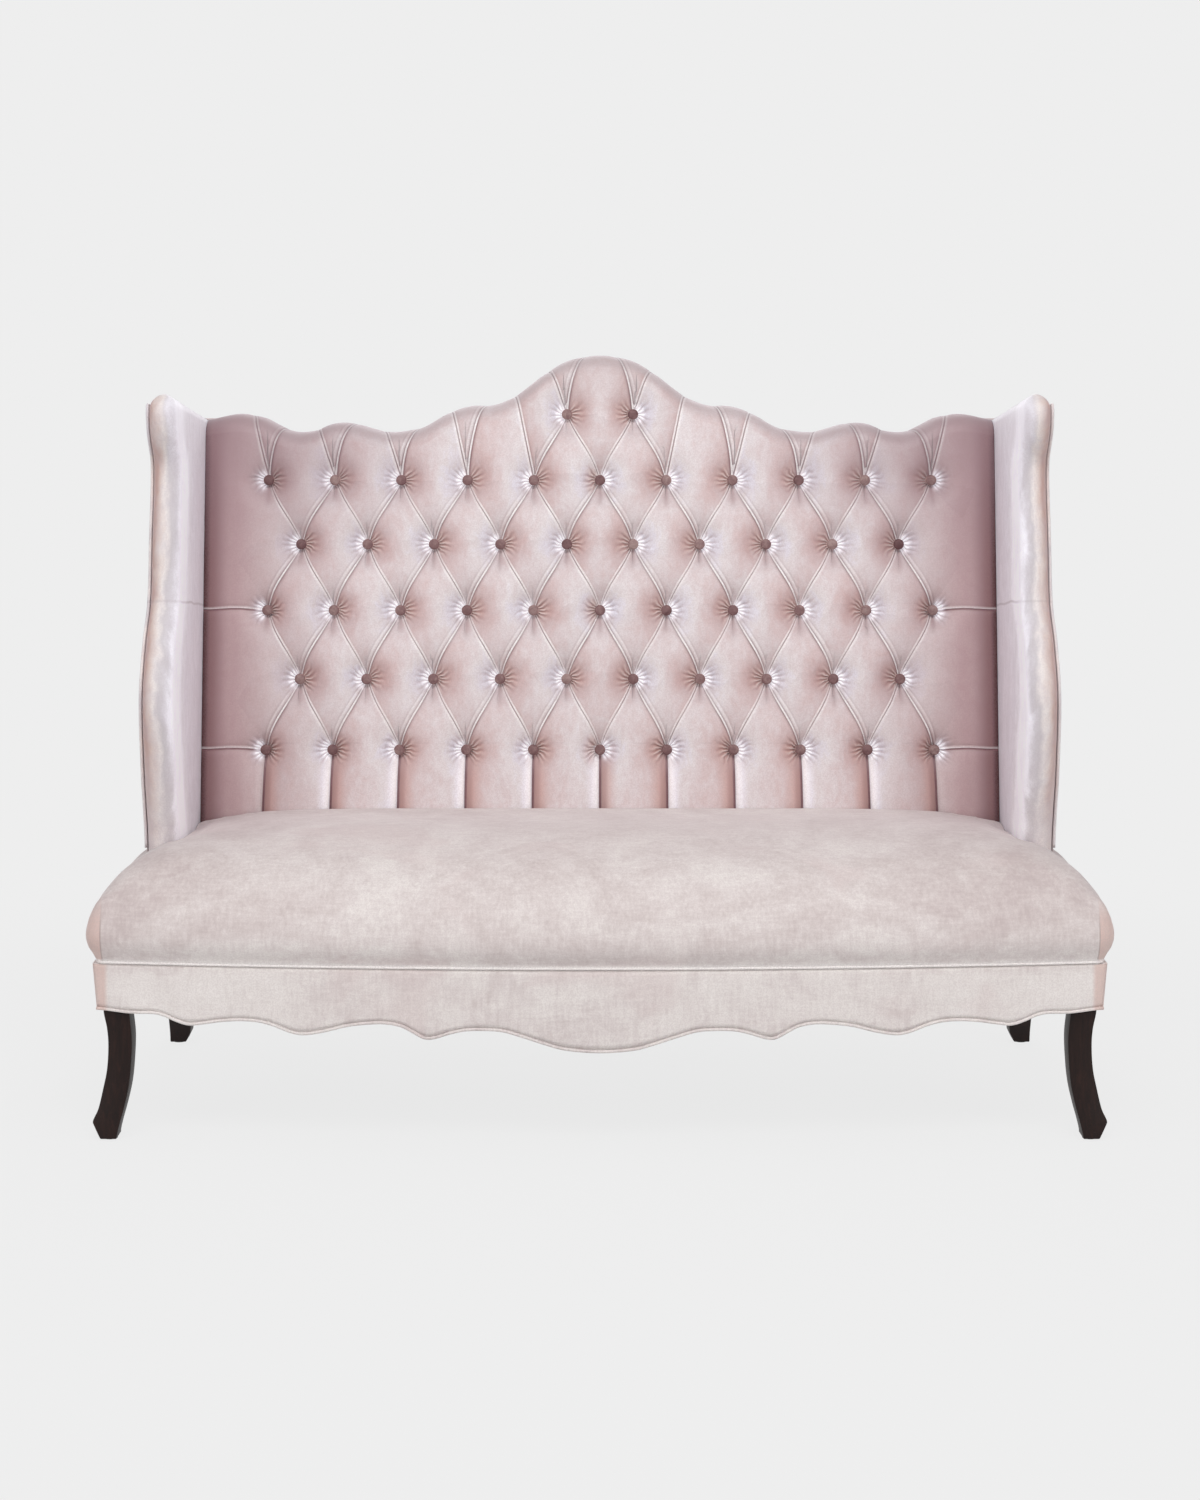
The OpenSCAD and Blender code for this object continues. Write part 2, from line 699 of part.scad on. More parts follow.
module back_lower_rail() {
    color(beech) back_slab(frame_back, frame_front)
        translate([-pad_half, lower_rail_s]) square([2 * pad_half, lower_rail_h]);
}

module back_stiles() {
    color(beech) both() back_slab(frame_back, frame_front)
        translate([wing_in * stretcher_place_share, lower_rail_s + lower_rail_h + fit_gap])
            square([stile_w, crest_board_s - lower_rail_s - lower_rail_h - 2 * fit_gap]);
}

module crest_board() {
    color(beech) back_slab(frame_back, frame_front)
        polygon(concat([[-pad_half, crest_board_s]], crest_line(lip_t),
                       [[pad_half, crest_board_s]]));
}

// Woven cloth that backs the padding
module back_cloth() {
    color(jute) back_slab(cloth_at, cloth_at + deck_t)
        polygon(concat([[-pad_half, lower_rail_s]], crest_line(3 * lip_t),
                       [[pad_half, lower_rail_s]]));
}

// Tufted padding

// Where a button sits: q counts quarter pitches, r counts half rows
function is_button(q, r) =
    r == 10 ? abs(q) == 2
    : r >= 0 && r <= 8 && r % 2 == 0 && q % 2 == 0 && (abs(q) + r) % 4 == 0 && abs(q) <= 20;

function row_at(k) = tuft_low + tuft_h * row_shares[k];

// Height of grid row r in column q; the top rows spread up to the crest
function grid_s(q, r) =
    r == -2 ? pad_low
    : r == -1 ? (pad_low + tuft_low) / 2
    : r <= 8 ? (row_at(floor(r / 2)) + row_at(ceil(r / 2))) / 2
    : row_at(4) + (crest_s(col_x(q)) - crest_roll - row_at(4)) * (r - 8) / 3;

// Depths below the crown, as shares of the button depth
pleat_share = 0.53;
flank_share = 0.32;
saddle_share = 0.21;
channel_share = 0.6;
fan_share = 0.34;
side_pleat_share = 0.35;
edge_share = 0.7;

function dip(q, r) = tuft_deep * dip_share(abs(q), r);

function dip_share(q, r) =
    q > 20 ? (q - 20) * (q - 20) / 9 * edge_share + (r == 0 || r == 4 ? side_pleat_share / 2 : 0)
    : is_button(q, r) ? 1
    : r < 0 ? (q % 4 == 0 ? channel_share : q % 2 == 1 ? saddle_share : 0)
    : r <= 8 ? (q % 2 == 1 ? (r % 2 == 1 ? pleat_share : flank_share)
        : r % 2 == 1 ? saddle_share : 0)
    : r == 9 ? (q % 4 == 0 ? max(saddle_share, 1 - 0.6 * (grid_s(q, 9) - grid_s(q, 8)) / tuft_deep)
        : q <= 3 ? (q % 2 == 1 ? pleat_share : saddle_share)
        : q % 2 == 1 ? fan_share : saddle_share / 4)
    : r == 10 ? (q <= 3 ? (q % 2 == 1 ? flank_share : 0) : q % 4 == 0 ? fan_share
        : q % 2 == 1 ? fan_share : 0)
    : q % 2 == 1 ? fan_share * 0.7 : q % 4 == 0 ? saddle_share : q == 2 ? fan_share * 0.7 : 0;

// Shares of the roll over the crest: thickness kept, height left to the crest
roll_shares = [[0.86, 0.3], [0.5, 0]];

// One upright section of the padding, as [x, -n, s]
function pad_section(q) =
    let (x = col_x(q), top = crest_s(x), face = thick(top) - dip(q, 11))
    concat(
        [for (r = [-2:11]) let (s = grid_s(q, r)) [x, dip(q, r) - thick(s), s]],
        [for (p = roll_shares) [x, -face * p[0], top - crest_roll * p[1] - dip(q, 11) * 0.3]],
        [[x, -frame_back, top - fit_gap * 8],
         [x, -frame_back, top - lip_t + fit_gap],
         [x, -pad_rear, top - lip_t + fit_gap],
         [x, -pad_rear, pad_low]]);

pad_n = 20;

// Grid square between columns j and j+1, split along its deeper diagonal
function pad_cell(j, m) =
    let (a = j * pad_n + m, b = (j + 1) * pad_n + m,
         c = (j + 1) * pad_n + (m + 1) % pad_n, d = j * pad_n + (m + 1) % pad_n,
         q = j - cols, r = m - 2)
    m < 13 && dip(q, r) + dip(q + 1, r + 1) < dip(q + 1, r) + dip(q, r + 1)
    ? [[a, d, b], [d, c, b]] : [[a, c, b], [a, d, c]];

module back_pad() {
    last = 2 * cols * pad_n;
    fan = [for (m = [0:pad_n - 4]) [pad_n - 2, m + 1, m]];
    foot = [[pad_n - 2, 0, pad_n - 1]];
    near = concat(fan, foot);
    far = [for (t = near) [last + t[2], last + t[1], last + t[0]]];
    color(blush) leaned() polyhedron(
        [for (q = [-cols:cols]) each pad_section(q)],
        concat([for (j = [0:2 * cols - 1]) for (m = [0:pad_n - 1]) each pad_cell(j, m)],
               near, far));
}

// Covered button with a domed face and a short shank
shank_r = 3;

module button() {
    ball = (button_r * button_r + button_dome * button_dome) / (2 * button_dome);
    rotate_extrude($fn = 32) intersection() {
        union() {
            square([button_r, button_rim]);
            translate([0, button_rim + button_dome - ball]) circle(r = ball, $fn = 96);
        }
        square([button_r, button_rim + button_dome]);
    }
    translate([0, 0, -button_lift / 2]) cylinder(r = shank_r, h = button_lift / 2 + button_rim / 2,
        $fn = 24);
}

module tuft_buttons() {
    color(mauve) leaned() for (r = [0:2:10]) for (q = [-20:20]) if (is_button(q, r))
        let (s = grid_s(q, r))
            translate([col_x(q), tuft_deep - thick(s) - button_lift, s]) rotate([90, 0, 0])
                button();
}

// Outside of the back

function panel_line(half, down) = concat([[-half, crest_s(wing_in) - down]], crest_line(down),
    [[half, crest_s(wing_in) - down]]);

welt_drop = 2 * welt_r + 2 * fit_gap;

module outside_back() {
    low_half = panel_half - fit_gap + flare_at(frame_z);
    color(velvet) back_slab(0, panel_t)
        polygon(concat([[-low_half, 0]],
            panel_line(panel_half - fit_gap, welt_drop + 4 * fit_gap), [[low_half, 0]]));
}

// Piping along the upper edge of the outside back
module back_welt() {
    line = panel_line(panel_half - welt_r, welt_r + 4 * fit_gap);
    color(velvet) leaned()
        piping([for (p = line) [p[0], fit_gap - panel_t + welt_r, p[1]]], welt_r, [0, 1, 0]);
}

// Wings

wing_low = rail_top + fit_gap;
wing_h = wing_top - wing_low;
wing_r = wing_t / 2;
// Front edge of a wing: share of height, share of the sweep
wing_edge_shares = [[0, 0.5], [0.158, 0.4], [0.31, 0.8], [0.45, 1], [0.55, 0.66], [0.61, 0.28],
    [0.74, 0.12], [0.87, 0], [0.925, 0.36], [0.965, 0.48], [1, 0.4]];
// Levels of the wing's rings, and turns of its domed top
wing_level_shares = [0, 0.07, 0.13, 0.19, 0.25, 0.31, 0.36, 0.41, 0.45, 0.49, 0.53, 0.57,
    0.6, 0.64, 0.69, 0.74, 0.79, 0.83, 0.86, 0.885, 0.91, 0.935, 0.955];
wing_dome_turns = [15, 35, 55, 72, 84];
// Height share over which the top edge starts to slope
slope_from_share = 0.8;

function wing_front(h) = wing_waist_y - wing_sweep * curve_at(wing_edge_shares, h);

// How far the outer face stands out at the height z
function flare_at(z) = wing_flare * (1 - (z - wing_low) / wing_h);

// Rear face of the back at the height z, less n
function rear_face_y(z, n) =
    back_base + (z - frame_z) * tan(back_lean) - n / cos(back_lean);

// Ring of a wing at height share h, thinned by the turn a of the dome
function wing_ring(h, a) =
    let (z = wing_low + h * wing_h, half = wing_r + flare_at(z) / 2, r = half * cos(a),
         front = wing_front(h) + wing_r * (1 - cos(a)) * 1.4,
         mid = front + r,
         inner = [for (i = [0:4]) [wing_in + half - r * sin(18 * (5 - i)),
             mid - r * cos(18 * (5 - i))]],
         ramp = max(0, h - slope_from_share) / (1 - slope_from_share),
         rear = rear_face_y(z - wing_fall * ramp, frame_back),
         line = concat([[wing_in + half - r, rear], [wing_in + half - r, (rear + mid) / 2]],
                       inner),
         outer = [for (p = line) [2 * (wing_in + half) - p[0], p[1]]],
         full = concat(outer, [for (i = [len(line) - 1:-1:0]) line[i]]))
    [for (p = full) [p[0], p[1], z - wing_fall * ramp * (p[1] - front) / (rear - front)]];

module wing_form() {
    skin(concat([for (h = wing_level_shares) wing_ring(h, 0)],
        [for (a = wing_dome_turns) wing_ring(1 - (1 - sin(a)) * wing_r / wing_h, a)]));
}

// Side outline of a wing, drawn in by inset, its rear edge n in front of the back's face
module wing_outline(inset, n, low) {
    top = 1 - inset / wing_h;
    rear_z = wing_top - wing_fall - inset;
    polygon(concat(
        [for (i = [0:24]) let (h = (low - wing_low) / wing_h * (1 - i / 24) + top * i / 24)
            [wing_front(min(max(h, 0), 1)) + inset, wing_low + h * wing_h]],
        [[rear_face_y(rear_z, n), rear_z], [rear_face_y(low, n), low]]));
}

// Board or panel along the wing's tilted outer face
module wing_slab(x0, x1, inset, n, low) {
    translate([panel_half, 0, wing_top]) rotate([0, -atan(wing_flare / wing_h), 0])
        translate([x0 - panel_half, 0, -wing_top]) rotate([90, 0, 90])
            linear_extrude(x1 - x0) wing_outline(inset, n, low);
}

board_x = wing_in + wing_t - fit_gap - wing_board_t;

module wing_board() {
    color(beech) wing_slab(board_x, board_x + wing_board_t, wing_board_in,
                           frame_front + fit_gap, rail_top + 2 * fit_gap);
}

module wing_board_right() { wing_board(); }

module wing_board_left() { mirror([1, 0, 0]) wing_board(); }

module wing_pad() {
    color(lilac) difference() {
        wing_form();
        wing_slab(board_x - fit_gap, board_x + 2 * wing_board_t, wing_board_in - fit_gap,
                  frame_front, rail_top - fit_gap);
        back_slab(0, frame_front + fit_gap)
            translate([wing_in - wing_t, 0]) square([3 * wing_t, post_top + fit_gap]);
    }
}

module wing_pad_right() { wing_pad(); }

module wing_pad_left() { mirror([1, 0, 0]) wing_pad(); }

// Cloth panel on the wing's outer face
module wing_panel() {
    color(velvet) wing_slab(panel_half + fit_gap, panel_half + fit_gap + panel_t,
                            wing_r - fit_gap, 0, seat_low + fit_gap);
}

module wing_panel_right() { wing_panel(); }

module wing_panel_left() { mirror([1, 0, 0]) wing_panel(); }

welt_in_share = 0.8;

// Piping round the front and top of that panel
module wing_welt() {
    in = wing_r - welt_r - 2 * fit_gap - fit_gap;
    top = 1 - in / wing_h;
    x = panel_half + welt_r + fit_gap;
    low = 0.16;
    edge = [for (i = [0:30]) let (h = low + top * i / 30 * (1 - low), z = wing_low + h * wing_h)
        [x + flare_at(z), wing_front(h) + in, z]];
    last = edge[30];
    back_z = wing_top - wing_fall - in;
    color(velvet) piping(concat(edge, [last + [0, welt_r, welt_r / 3],
        [x + flare_at(back_z), rear_face_y(back_z, 0), back_z]]), welt_r, [1, 0, 0]);
}

module wing_welt_right() { wing_welt(); }

module wing_welt_left() { mirror([1, 0, 0]) wing_welt(); }

front_rail();
rear_rail();
side_rail_left();
side_rail_right();
seat_stretchers();
corner_blocks();
wing_sill_left();
wing_sill_right();
apron_board();
seat_springs();
spring_clips();
seat_deck();
seat_pad();
seat_welt();
apron_cover();
apron_welt();
side_cover_left();
side_cover_right();
dust_cover();
front_leg_left();
front_leg_right();
rear_leg_left();
rear_leg_right();
leg_bolts();
glides();
back_post_left();
back_post_right();
back_lower_rail();
back_stiles();
crest_board();
back_cloth();
back_pad();
tuft_buttons();
outside_back();
back_welt();
wing_board_left();
wing_board_right();
wing_pad_left();
wing_pad_right();
wing_panel_left();
wing_panel_right();
wing_welt_left();
wing_welt_right();
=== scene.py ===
import math
import random

import bmesh
import bpy
import numpy as np
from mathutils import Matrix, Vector


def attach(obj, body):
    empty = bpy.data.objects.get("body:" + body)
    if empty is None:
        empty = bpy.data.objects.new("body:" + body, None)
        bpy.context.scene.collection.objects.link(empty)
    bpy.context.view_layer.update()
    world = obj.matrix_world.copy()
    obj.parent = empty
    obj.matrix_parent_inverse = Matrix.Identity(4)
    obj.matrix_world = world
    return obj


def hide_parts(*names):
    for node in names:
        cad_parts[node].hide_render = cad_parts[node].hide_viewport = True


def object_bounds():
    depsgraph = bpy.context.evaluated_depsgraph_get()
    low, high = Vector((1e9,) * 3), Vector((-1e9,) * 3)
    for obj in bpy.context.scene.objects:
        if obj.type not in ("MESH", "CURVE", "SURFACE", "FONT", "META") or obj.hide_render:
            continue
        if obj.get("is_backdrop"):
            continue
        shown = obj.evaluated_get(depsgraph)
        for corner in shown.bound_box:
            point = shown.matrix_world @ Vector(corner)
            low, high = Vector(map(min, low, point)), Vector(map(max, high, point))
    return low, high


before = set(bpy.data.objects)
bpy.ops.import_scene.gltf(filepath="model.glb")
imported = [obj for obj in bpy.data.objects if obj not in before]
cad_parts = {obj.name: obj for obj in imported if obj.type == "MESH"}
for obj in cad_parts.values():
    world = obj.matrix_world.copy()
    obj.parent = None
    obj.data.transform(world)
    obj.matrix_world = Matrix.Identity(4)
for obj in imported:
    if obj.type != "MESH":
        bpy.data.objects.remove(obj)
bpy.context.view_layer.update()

# Frame of bare beech rails, posts, stiles and boards, glued and screwed together, as the packed
# model has it. The covers hide all of it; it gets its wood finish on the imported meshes.


class Shade:
    """One output in a material; Python arithmetic on it adds Math nodes."""

    def __init__(self, tree, socket=None):
        self.tree, self.socket = tree, socket

    def node(self, kind, out=0, stops=None, sockets=None, **settings):
        """Adds a node with its settings, then a ramp's stops, then its sockets' values or links."""
        made = self.tree.nodes.new("ShaderNode" + kind)
        for name, value in settings.items():
            setattr(made, name, value)
        if stops:
            ramp = made.color_ramp.elements
            ramp.remove(ramp[1])
            ramp[0].position, ramp[0].color = stops[0][0], rgba(stops[0][1])
            for place, colour in stops[1:]:
                ramp.new(place).color = rgba(colour)
        for key, value in (sockets or {}).items():
            connect(self.tree, pick(made.inputs, key), value)
        return Shade(self.tree, pick(made.outputs, out))

    def math(self, operation, first, second=0.0):
        return self.node("Math", sockets={0: first, 1: second}, operation=operation)

    def __add__(self, other):
        return self.math("ADD", self, other)

    __radd__ = __add__

    def __sub__(self, other):
        return self.math("SUBTRACT", self, other)

    def __rsub__(self, other):
        return self.math("SUBTRACT", other, self)

    def __mul__(self, other):
        return self.math("MULTIPLY", self, other)

    __rmul__ = __mul__

    def __truediv__(self, other):
        return self.math("DIVIDE", self, other)

    def size(self):
        return self.math("ABSOLUTE", self)

    def rise(self, low, high):
        """0 below low, 1 above high, smooth between them."""
        return self.node("MapRange", interpolation_type="SMOOTHSTEP",
                         sockets={"Value": self, "From Min": low, "From Max": high})

    def blend(self, first, second):
        """Mixes two colours by this factor."""
        return self.node("Mix", "Result_Color", data_type="RGBA", sockets={
            "Factor_Float": self, "A_Color": first, "B_Color": second})

    def axis(self, name):
        """One axis of this vector."""
        return self.node("SeparateXYZ", name, sockets={0: self})

    def noise(self, scale, stretch=(1, 1, 1), detail=3, rough=0.55, twist=0.0):
        """Noise over this place, from 0 to 1."""
        place = self.node("Mapping", sockets={"Vector": self, "Scale": stretch})
        return self.node("TexNoise", "Fac", sockets={
            "Vector": place, "Scale": scale, "Detail": detail, "Roughness": rough,
            "Distortion": twist})


def pick(sockets, key):
    """A node's socket by its number, identifier or name."""
    if isinstance(key, int):
        return sockets[key]
    return next(s for s in sockets if key in (s.identifier, s.name))


def rgba(colour):
    return (*colour, 1.0) if hasattr(colour, "__len__") else (colour, colour, colour, 1.0)


def connect(tree, socket, value):
    """Feeds a socket with a Shade, a colour or a number."""
    if isinstance(value, Shade):
        tree.links.new(value.socket, socket)
    elif hasattr(value, "__len__") and socket.type == "RGBA":
        socket.default_value = rgba(value)
    else:
        socket.default_value = value


def paint(red, green, blue):
    """Colour from its 0 to 255 screen values."""
    parts = [c / 255 for c in (red, green, blue)]
    return tuple(c / 12.92 if c <= 0.04045 else ((c + 0.055) / 1.055) ** 2.4 for c in parts)


def finish_of(name, **constants):
    """A material, its pen for new nodes, and a function that feeds the shader's sockets."""
    made = bpy.data.materials.new(name)
    made.use_nodes = True
    tree = made.node_tree
    shader = tree.nodes["Principled BSDF"]
    for key, value in constants.items():
        connect(tree, pick(shader.inputs, key.replace("_", " ")), value)
    return made, Shade(tree), lambda key, value: connect(tree, pick(shader.inputs, key), value)


def dress(material, *nodes):
    """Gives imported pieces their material."""
    for name in nodes:
        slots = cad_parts[name].data.materials
        slots.clear()
        slots.append(material)


beech, pen, feed = finish_of("beech", Roughness=0.6)
place = pen.node("TexCoord", "Object")
grain = place.noise(14, (1, 9, 9), detail=5, twist=0.6)
pores = place.noise(160, (1, 12, 12), detail=2)
feed("Base Color", pen.node("ValToRGB", stops=[
    (0.3, paint(186, 150, 104)), (0.55, paint(208, 176, 130)), (0.75, paint(220, 190, 148))],
    sockets={0: grain * 0.8 + pores * 0.2}))
feed("Roughness", 0.5 + grain * 0.2)
feed("Normal", pen.node("Bump", sockets={"Strength": 0.25, "Distance": 0.0006, "Height": pores}))
dress(beech, "front_rail", "rear_rail", "side_rail_left", "side_rail_right", "seat_stretchers",
      "corner_blocks", "wing_sill_left", "wing_sill_right", "apron_board", "back_post_left",
      "back_post_right", "back_lower_rail", "back_stiles", "crest_board", "wing_board_left",
      "wing_board_right")

# Sinuous seat springs held by clips on the rails, and the legs' hanger bolts, of drawn steel.
# They stay as packed and get a drawn, slightly oiled finish.

drawn_steel, pen, feed = finish_of("drawn_steel", Metallic=1.0)
place = pen.node("TexCoord", "Object")
draw_marks = place.noise(240, (1, 0.2, 1), detail=2)
feed("Base Color", pen.node("ValToRGB", stops=[
    (0.3, paint(130, 132, 136)), (0.7, paint(166, 168, 172))], sockets={0: draw_marks}))
feed("Roughness", 0.32 + draw_marks * 0.2)
dress(drawn_steel, "seat_springs", "spring_clips", "leg_bolts")

# Jute deck over the springs and jute cloth on the back frame, both stretched and stapled.
# They are hidden by the padding; the weave is in the material.

jute, pen, feed = finish_of("jute", Roughness=0.9)
place = pen.node("TexCoord", "Object")
across = place.node("TexWave", "Fac", bands_direction="X", sockets={
    "Vector": place, "Scale": 160.0, "Distortion": 0.6})
along = place.node("TexWave", "Fac", bands_direction="Y", sockets={
    "Vector": place, "Scale": 160.0, "Distortion": 0.6})
weave = across * 0.5 + along * 0.5
feed("Base Color", pen.node("ValToRGB", stops=[
    (0.2, paint(120, 98, 66)), (0.8, paint(186, 160, 116))], sockets={0: weave}))
feed("Normal", pen.node("Bump", sockets={"Strength": 0.4, "Distance": 0.0008, "Height": weave}))
dress(jute, "seat_deck", "back_cloth")

# Black non-woven dust cover stapled under the seat frame, cut out around the legs.
# It stays as packed, with its felted finish.

dust_felt, pen, feed = finish_of("dust_felt", Roughness=0.95)
place = pen.node("TexCoord", "Object")
fibres = place.noise(420, detail=4, twist=1.5)
feed("Base Color", pen.node("ValToRGB", stops=[
    (0.35, paint(22, 22, 23)), (0.7, paint(44, 44, 46))], sockets={0: fibres}))
feed("Normal", pen.node("Bump", sockets={"Strength": 0.3, "Distance": 0.0005, "Height": fibres}))
dress(dust_felt, "dust_cover")

# Glides: turned plastic discs nailed under the four feet. They stay as packed.

glide_plastic, pen, feed = finish_of("glide_plastic", Roughness=0.5)
place = pen.node("TexCoord", "Object")
scuffs = place.noise(300, detail=4)
feed("Base Color", pen.node("ValToRGB", stops=[
    (0.4, paint(24, 23, 22)), (0.7, paint(50, 48, 46))], sockets={0: scuffs}))
feed("Roughness", 0.4 + scuffs * 0.3)
dress(glide_plastic, "glides")

# Legs: two sabre front legs sawn to the same curve on both faces and two plain raked rear
# legs, of solid wood with an espresso stain and satin lacquer. Hanger bolts hold them.

MM = 0.001
FRAME_Z = 238
GLIDE_T = 3
LEG_H = FRAME_Z - GLIDE_T
LEG_W = 47
LEG_OUT, LEG_FRONT = 909, 353
FOOT, TOE = 0.085, 0.125
OUTER_SHARES = [[TOE, 0.4], [0.165, 0.33], [0.22, 0.2], [0.38, 0.02], [0.53, -0.12],
                [0.72, -0.165], [0.85, -0.12], [1, 0]]
INNER_SHARES = [[0, 0.45], [0.105, 0.36], [0.22, 0.21], [0.38, 0.04], [0.53, -0.04],
                [0.77, -0.085], [1, 0]]
FRONT_SHARES = [[0, 0.45], [0.15, 0.32], [0.3, 0.17], [0.5, 0.03], [0.75, -0.05], [1, 0]]
REAR_W, REAR_OUT, REAR_BACK, REAR_SWEEP = 44, 900, 294, 68
REAR_SHARES = [[0, 1], [0.3, 0.62], [0.6, 0.24], [1, 0]]
# The rear legs are trimmed at the foot, over this share of their height
TRIM_SHARE, TRIM_RUN = 0.26, 0.1
SABRE_ROWS, RAKED_ROWS = 36, 24
LEG_EDGE = 2.2


def curve_at(points, u):
    """Height at u of the smooth curve through the points, level at both ends."""
    p, u = np.array(points, float), np.asarray(u, float)
    lean = np.zeros(len(p))
    lean[1:-1] = (p[2:, 1] - p[:-2, 1]) / (p[2:, 0] - p[:-2, 0])
    i = np.clip(np.searchsorted(p[:, 0], u, side="right") - 1, 0, len(p) - 2)
    w = p[i + 1, 0] - p[i, 0]
    t = (u - p[i, 0]) / w
    return ((2 * t**3 - 3 * t**2 + 1) * p[i, 1] + (t**3 - 2 * t**2 + t) * w * lean[i]
            + (3 * t**2 - 2 * t**3) * p[i + 1, 1] + (t**3 - t**2) * w * lean[i + 1])


def loft(rings):
    """Closed skin through equal rings of points, with a flat face at each end."""
    bm = bmesh.new()
    loops = []
    for ring in rings:
        verts = [bm.verts.new(Vector(p) * MM) for p in ring]
        loops.append((verts, [bm.edges.new((a, b)) for a, b in zip(verts, verts[1:] + verts[:1])]))
    for (_, low), (_, high) in zip(loops, loops[1:]):
        bmesh.ops.bridge_loops(bm, edges=low + high)
    for verts, _ in (loops[0], loops[-1]):
        bm.faces.new(verts)
    bmesh.ops.recalc_face_normals(bm, faces=bm.faces)
    return bm


def solid(name, bm):
    """Object of a bmesh, which it uses up."""
    mesh = bpy.data.meshes.new(name)
    bm.to_mesh(mesh)
    bm.free()
    made = bpy.data.objects.new(name, mesh)
    bpy.context.scene.collection.objects.link(made)
    return made


def finish(made, material, slot, *nodes):
    """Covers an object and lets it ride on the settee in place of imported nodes."""
    made.data.materials.clear()
    made.data.materials.append(material)
    made.data.shade_smooth()
    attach(made, "root")
    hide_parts(*nodes)
    return made


def piece(name, bm, material, slot, *nodes):
    """Finished object of a bmesh."""
    return finish(solid(name, bm), material, slot, *nodes)


def both_sides(build):
    """Calls build for the right and the left of the settee."""
    return [build(side, word) for side, word in ((1, "right"), (-1, "left"))]


def ease_edges(bm, width, segments=3, sharper=25):
    """Rounds every edge that turns by more than the angle."""
    sharp = [e for e in bm.edges if e.is_manifold and e.calc_face_angle() > math.radians(sharper)]
    bmesh.ops.bevel(bm, geom=sharp, offset=width * MM, affect="EDGES", segments=segments,
                    profile=0.5, material=-1)


espresso, pen, feed = finish_of("espresso_lacquer", Coat_Weight=0.05, Coat_Roughness=0.3,
                              Specular_IOR_Level=0.2)
place = pen.node("TexCoord", "Object")
grain = place.noise(22, (6, 6, 0.7), detail=6, twist=0.8)
pores = place.noise(300, (3, 3, 0.15), detail=2)
feed("Base Color", pen.node("ValToRGB", stops=[
    (0.3, paint(20, 10, 8)), (0.5, paint(30, 16, 13)), (0.72, paint(44, 25, 20))],
    sockets={0: grain * 0.75 + pores * 0.25}))
feed("Roughness", 0.42 + grain * 0.16)
feed("Normal", pen.node("Bump", sockets={"Strength": 0.15, "Distance": 0.0004, "Height": pores}))


def front_leg(side, word):
    rings = []
    for h in sorted([*np.linspace(0, 1, SABRE_ROWS), TOE]):
        out, back = curve_at(OUTER_SHARES, h) * LEG_W, (curve_at(INNER_SHARES, h) - 1) * LEG_W
        if h < TOE:
            out = (FOOT + (OUTER_SHARES[0][1] - FOOT) * h / TOE) * LEG_W
        near = curve_at(FRONT_SHARES, h) * LEG_W
        far = near - LEG_W
        rings.append([(side * (LEG_OUT + a), -LEG_FRONT - b, GLIDE_T + h * LEG_H)
                      for a, b in ((out, near), (out, far), (back, far), (back, near))])
    bm = loft(rings)
    ease_edges(bm, LEG_EDGE)
    return piece("sabre_leg_" + word, bm, espresso, "leg_wood", "front_leg_" + word)


def rear_leg(side, word):
    rings = []
    for h in np.linspace(0, 1, RAKED_ROWS):
        back = REAR_BACK + REAR_SWEEP * curve_at(REAR_SHARES, h)
        trim = REAR_W * TRIM_SHARE * max(0, 1 - h / TRIM_RUN)
        rings.append([(side * (REAR_OUT - a), back - b, GLIDE_T + h * LEG_H)
                      for a, b in ((0, 0), (0, REAR_W), (REAR_W - trim, REAR_W),
                                   (REAR_W - trim, 0))])
    bm = loft(rings)
    ease_edges(bm, LEG_EDGE)
    return piece("raked_leg_" + word, bm, espresso, "leg_wood", "rear_leg_" + word)


both_sides(front_leg)
both_sides(rear_leg)

# Seat: springs and foam under one tight velvet cover, crowned to the middle, swelling past the
# apron and drawn in at the welt. The nap is crushed in soft patches.

HALF_W, APRON_FRONT, BOW_DEPTH = 921, 412, 55
BOW_R = (HALF_W**2 + BOW_DEPTH**2) / (2 * BOW_DEPTH)
BOW_Y = BOW_R - APRON_FRONT
SEAT_LOW, SEAT_TOP, SEAT_BULGE, SEAT_REAR = 323.1, 533, 20, 290
CROWN_RUN, CORNER_R = 300, 14
# Points of a seat ring along one side, round one corner and along half the front
RING_SIDE, RING_CORNER, RING_FRONT = 14, 9, 42
SEAT_SHARES = [[0, -0.2], [0.046, 0.2], [0.105, 0.6], [0.2225, 1], [0.366, 0.74],
               [0.4945, 0.15], [0.56, -0.3]]
CROWN_SHARES = [[0.545, 0], [0.605, 0.04], [0.71, 0.096], [0.796, 0.168], [0.862, 0.26],
                [0.91, 0.41], [0.959, 0.6], [0.991, 0.82], [1, 1]]
BACK_Y, BACK_LEAN = 301.5, math.radians(6.23)
THICK_LOW, THICK_HIGH, CREST_LOW, CREST_RISE = 164, 124, 1044, 160
WING_IN, WING_T, WING_LOW, WING_TOP, WING_FALL, WING_FLARE = 815, 51, 314.3, 1361, 54, 14
WING_H = WING_TOP - WING_LOW
# Room between a cover and what it lies on
ROOM = 0.3
WAIST_Y, WING_SWEEP = -26, 120
WING_SHARES = [[0, 0.5], [0.158, 0.4], [0.31, 0.8], [0.45, 1], [0.55, 0.66], [0.61, 0.28],
               [0.74, 0.12], [0.87, 0], [0.925, 0.36], [0.965, 0.48], [1, 0.4]]


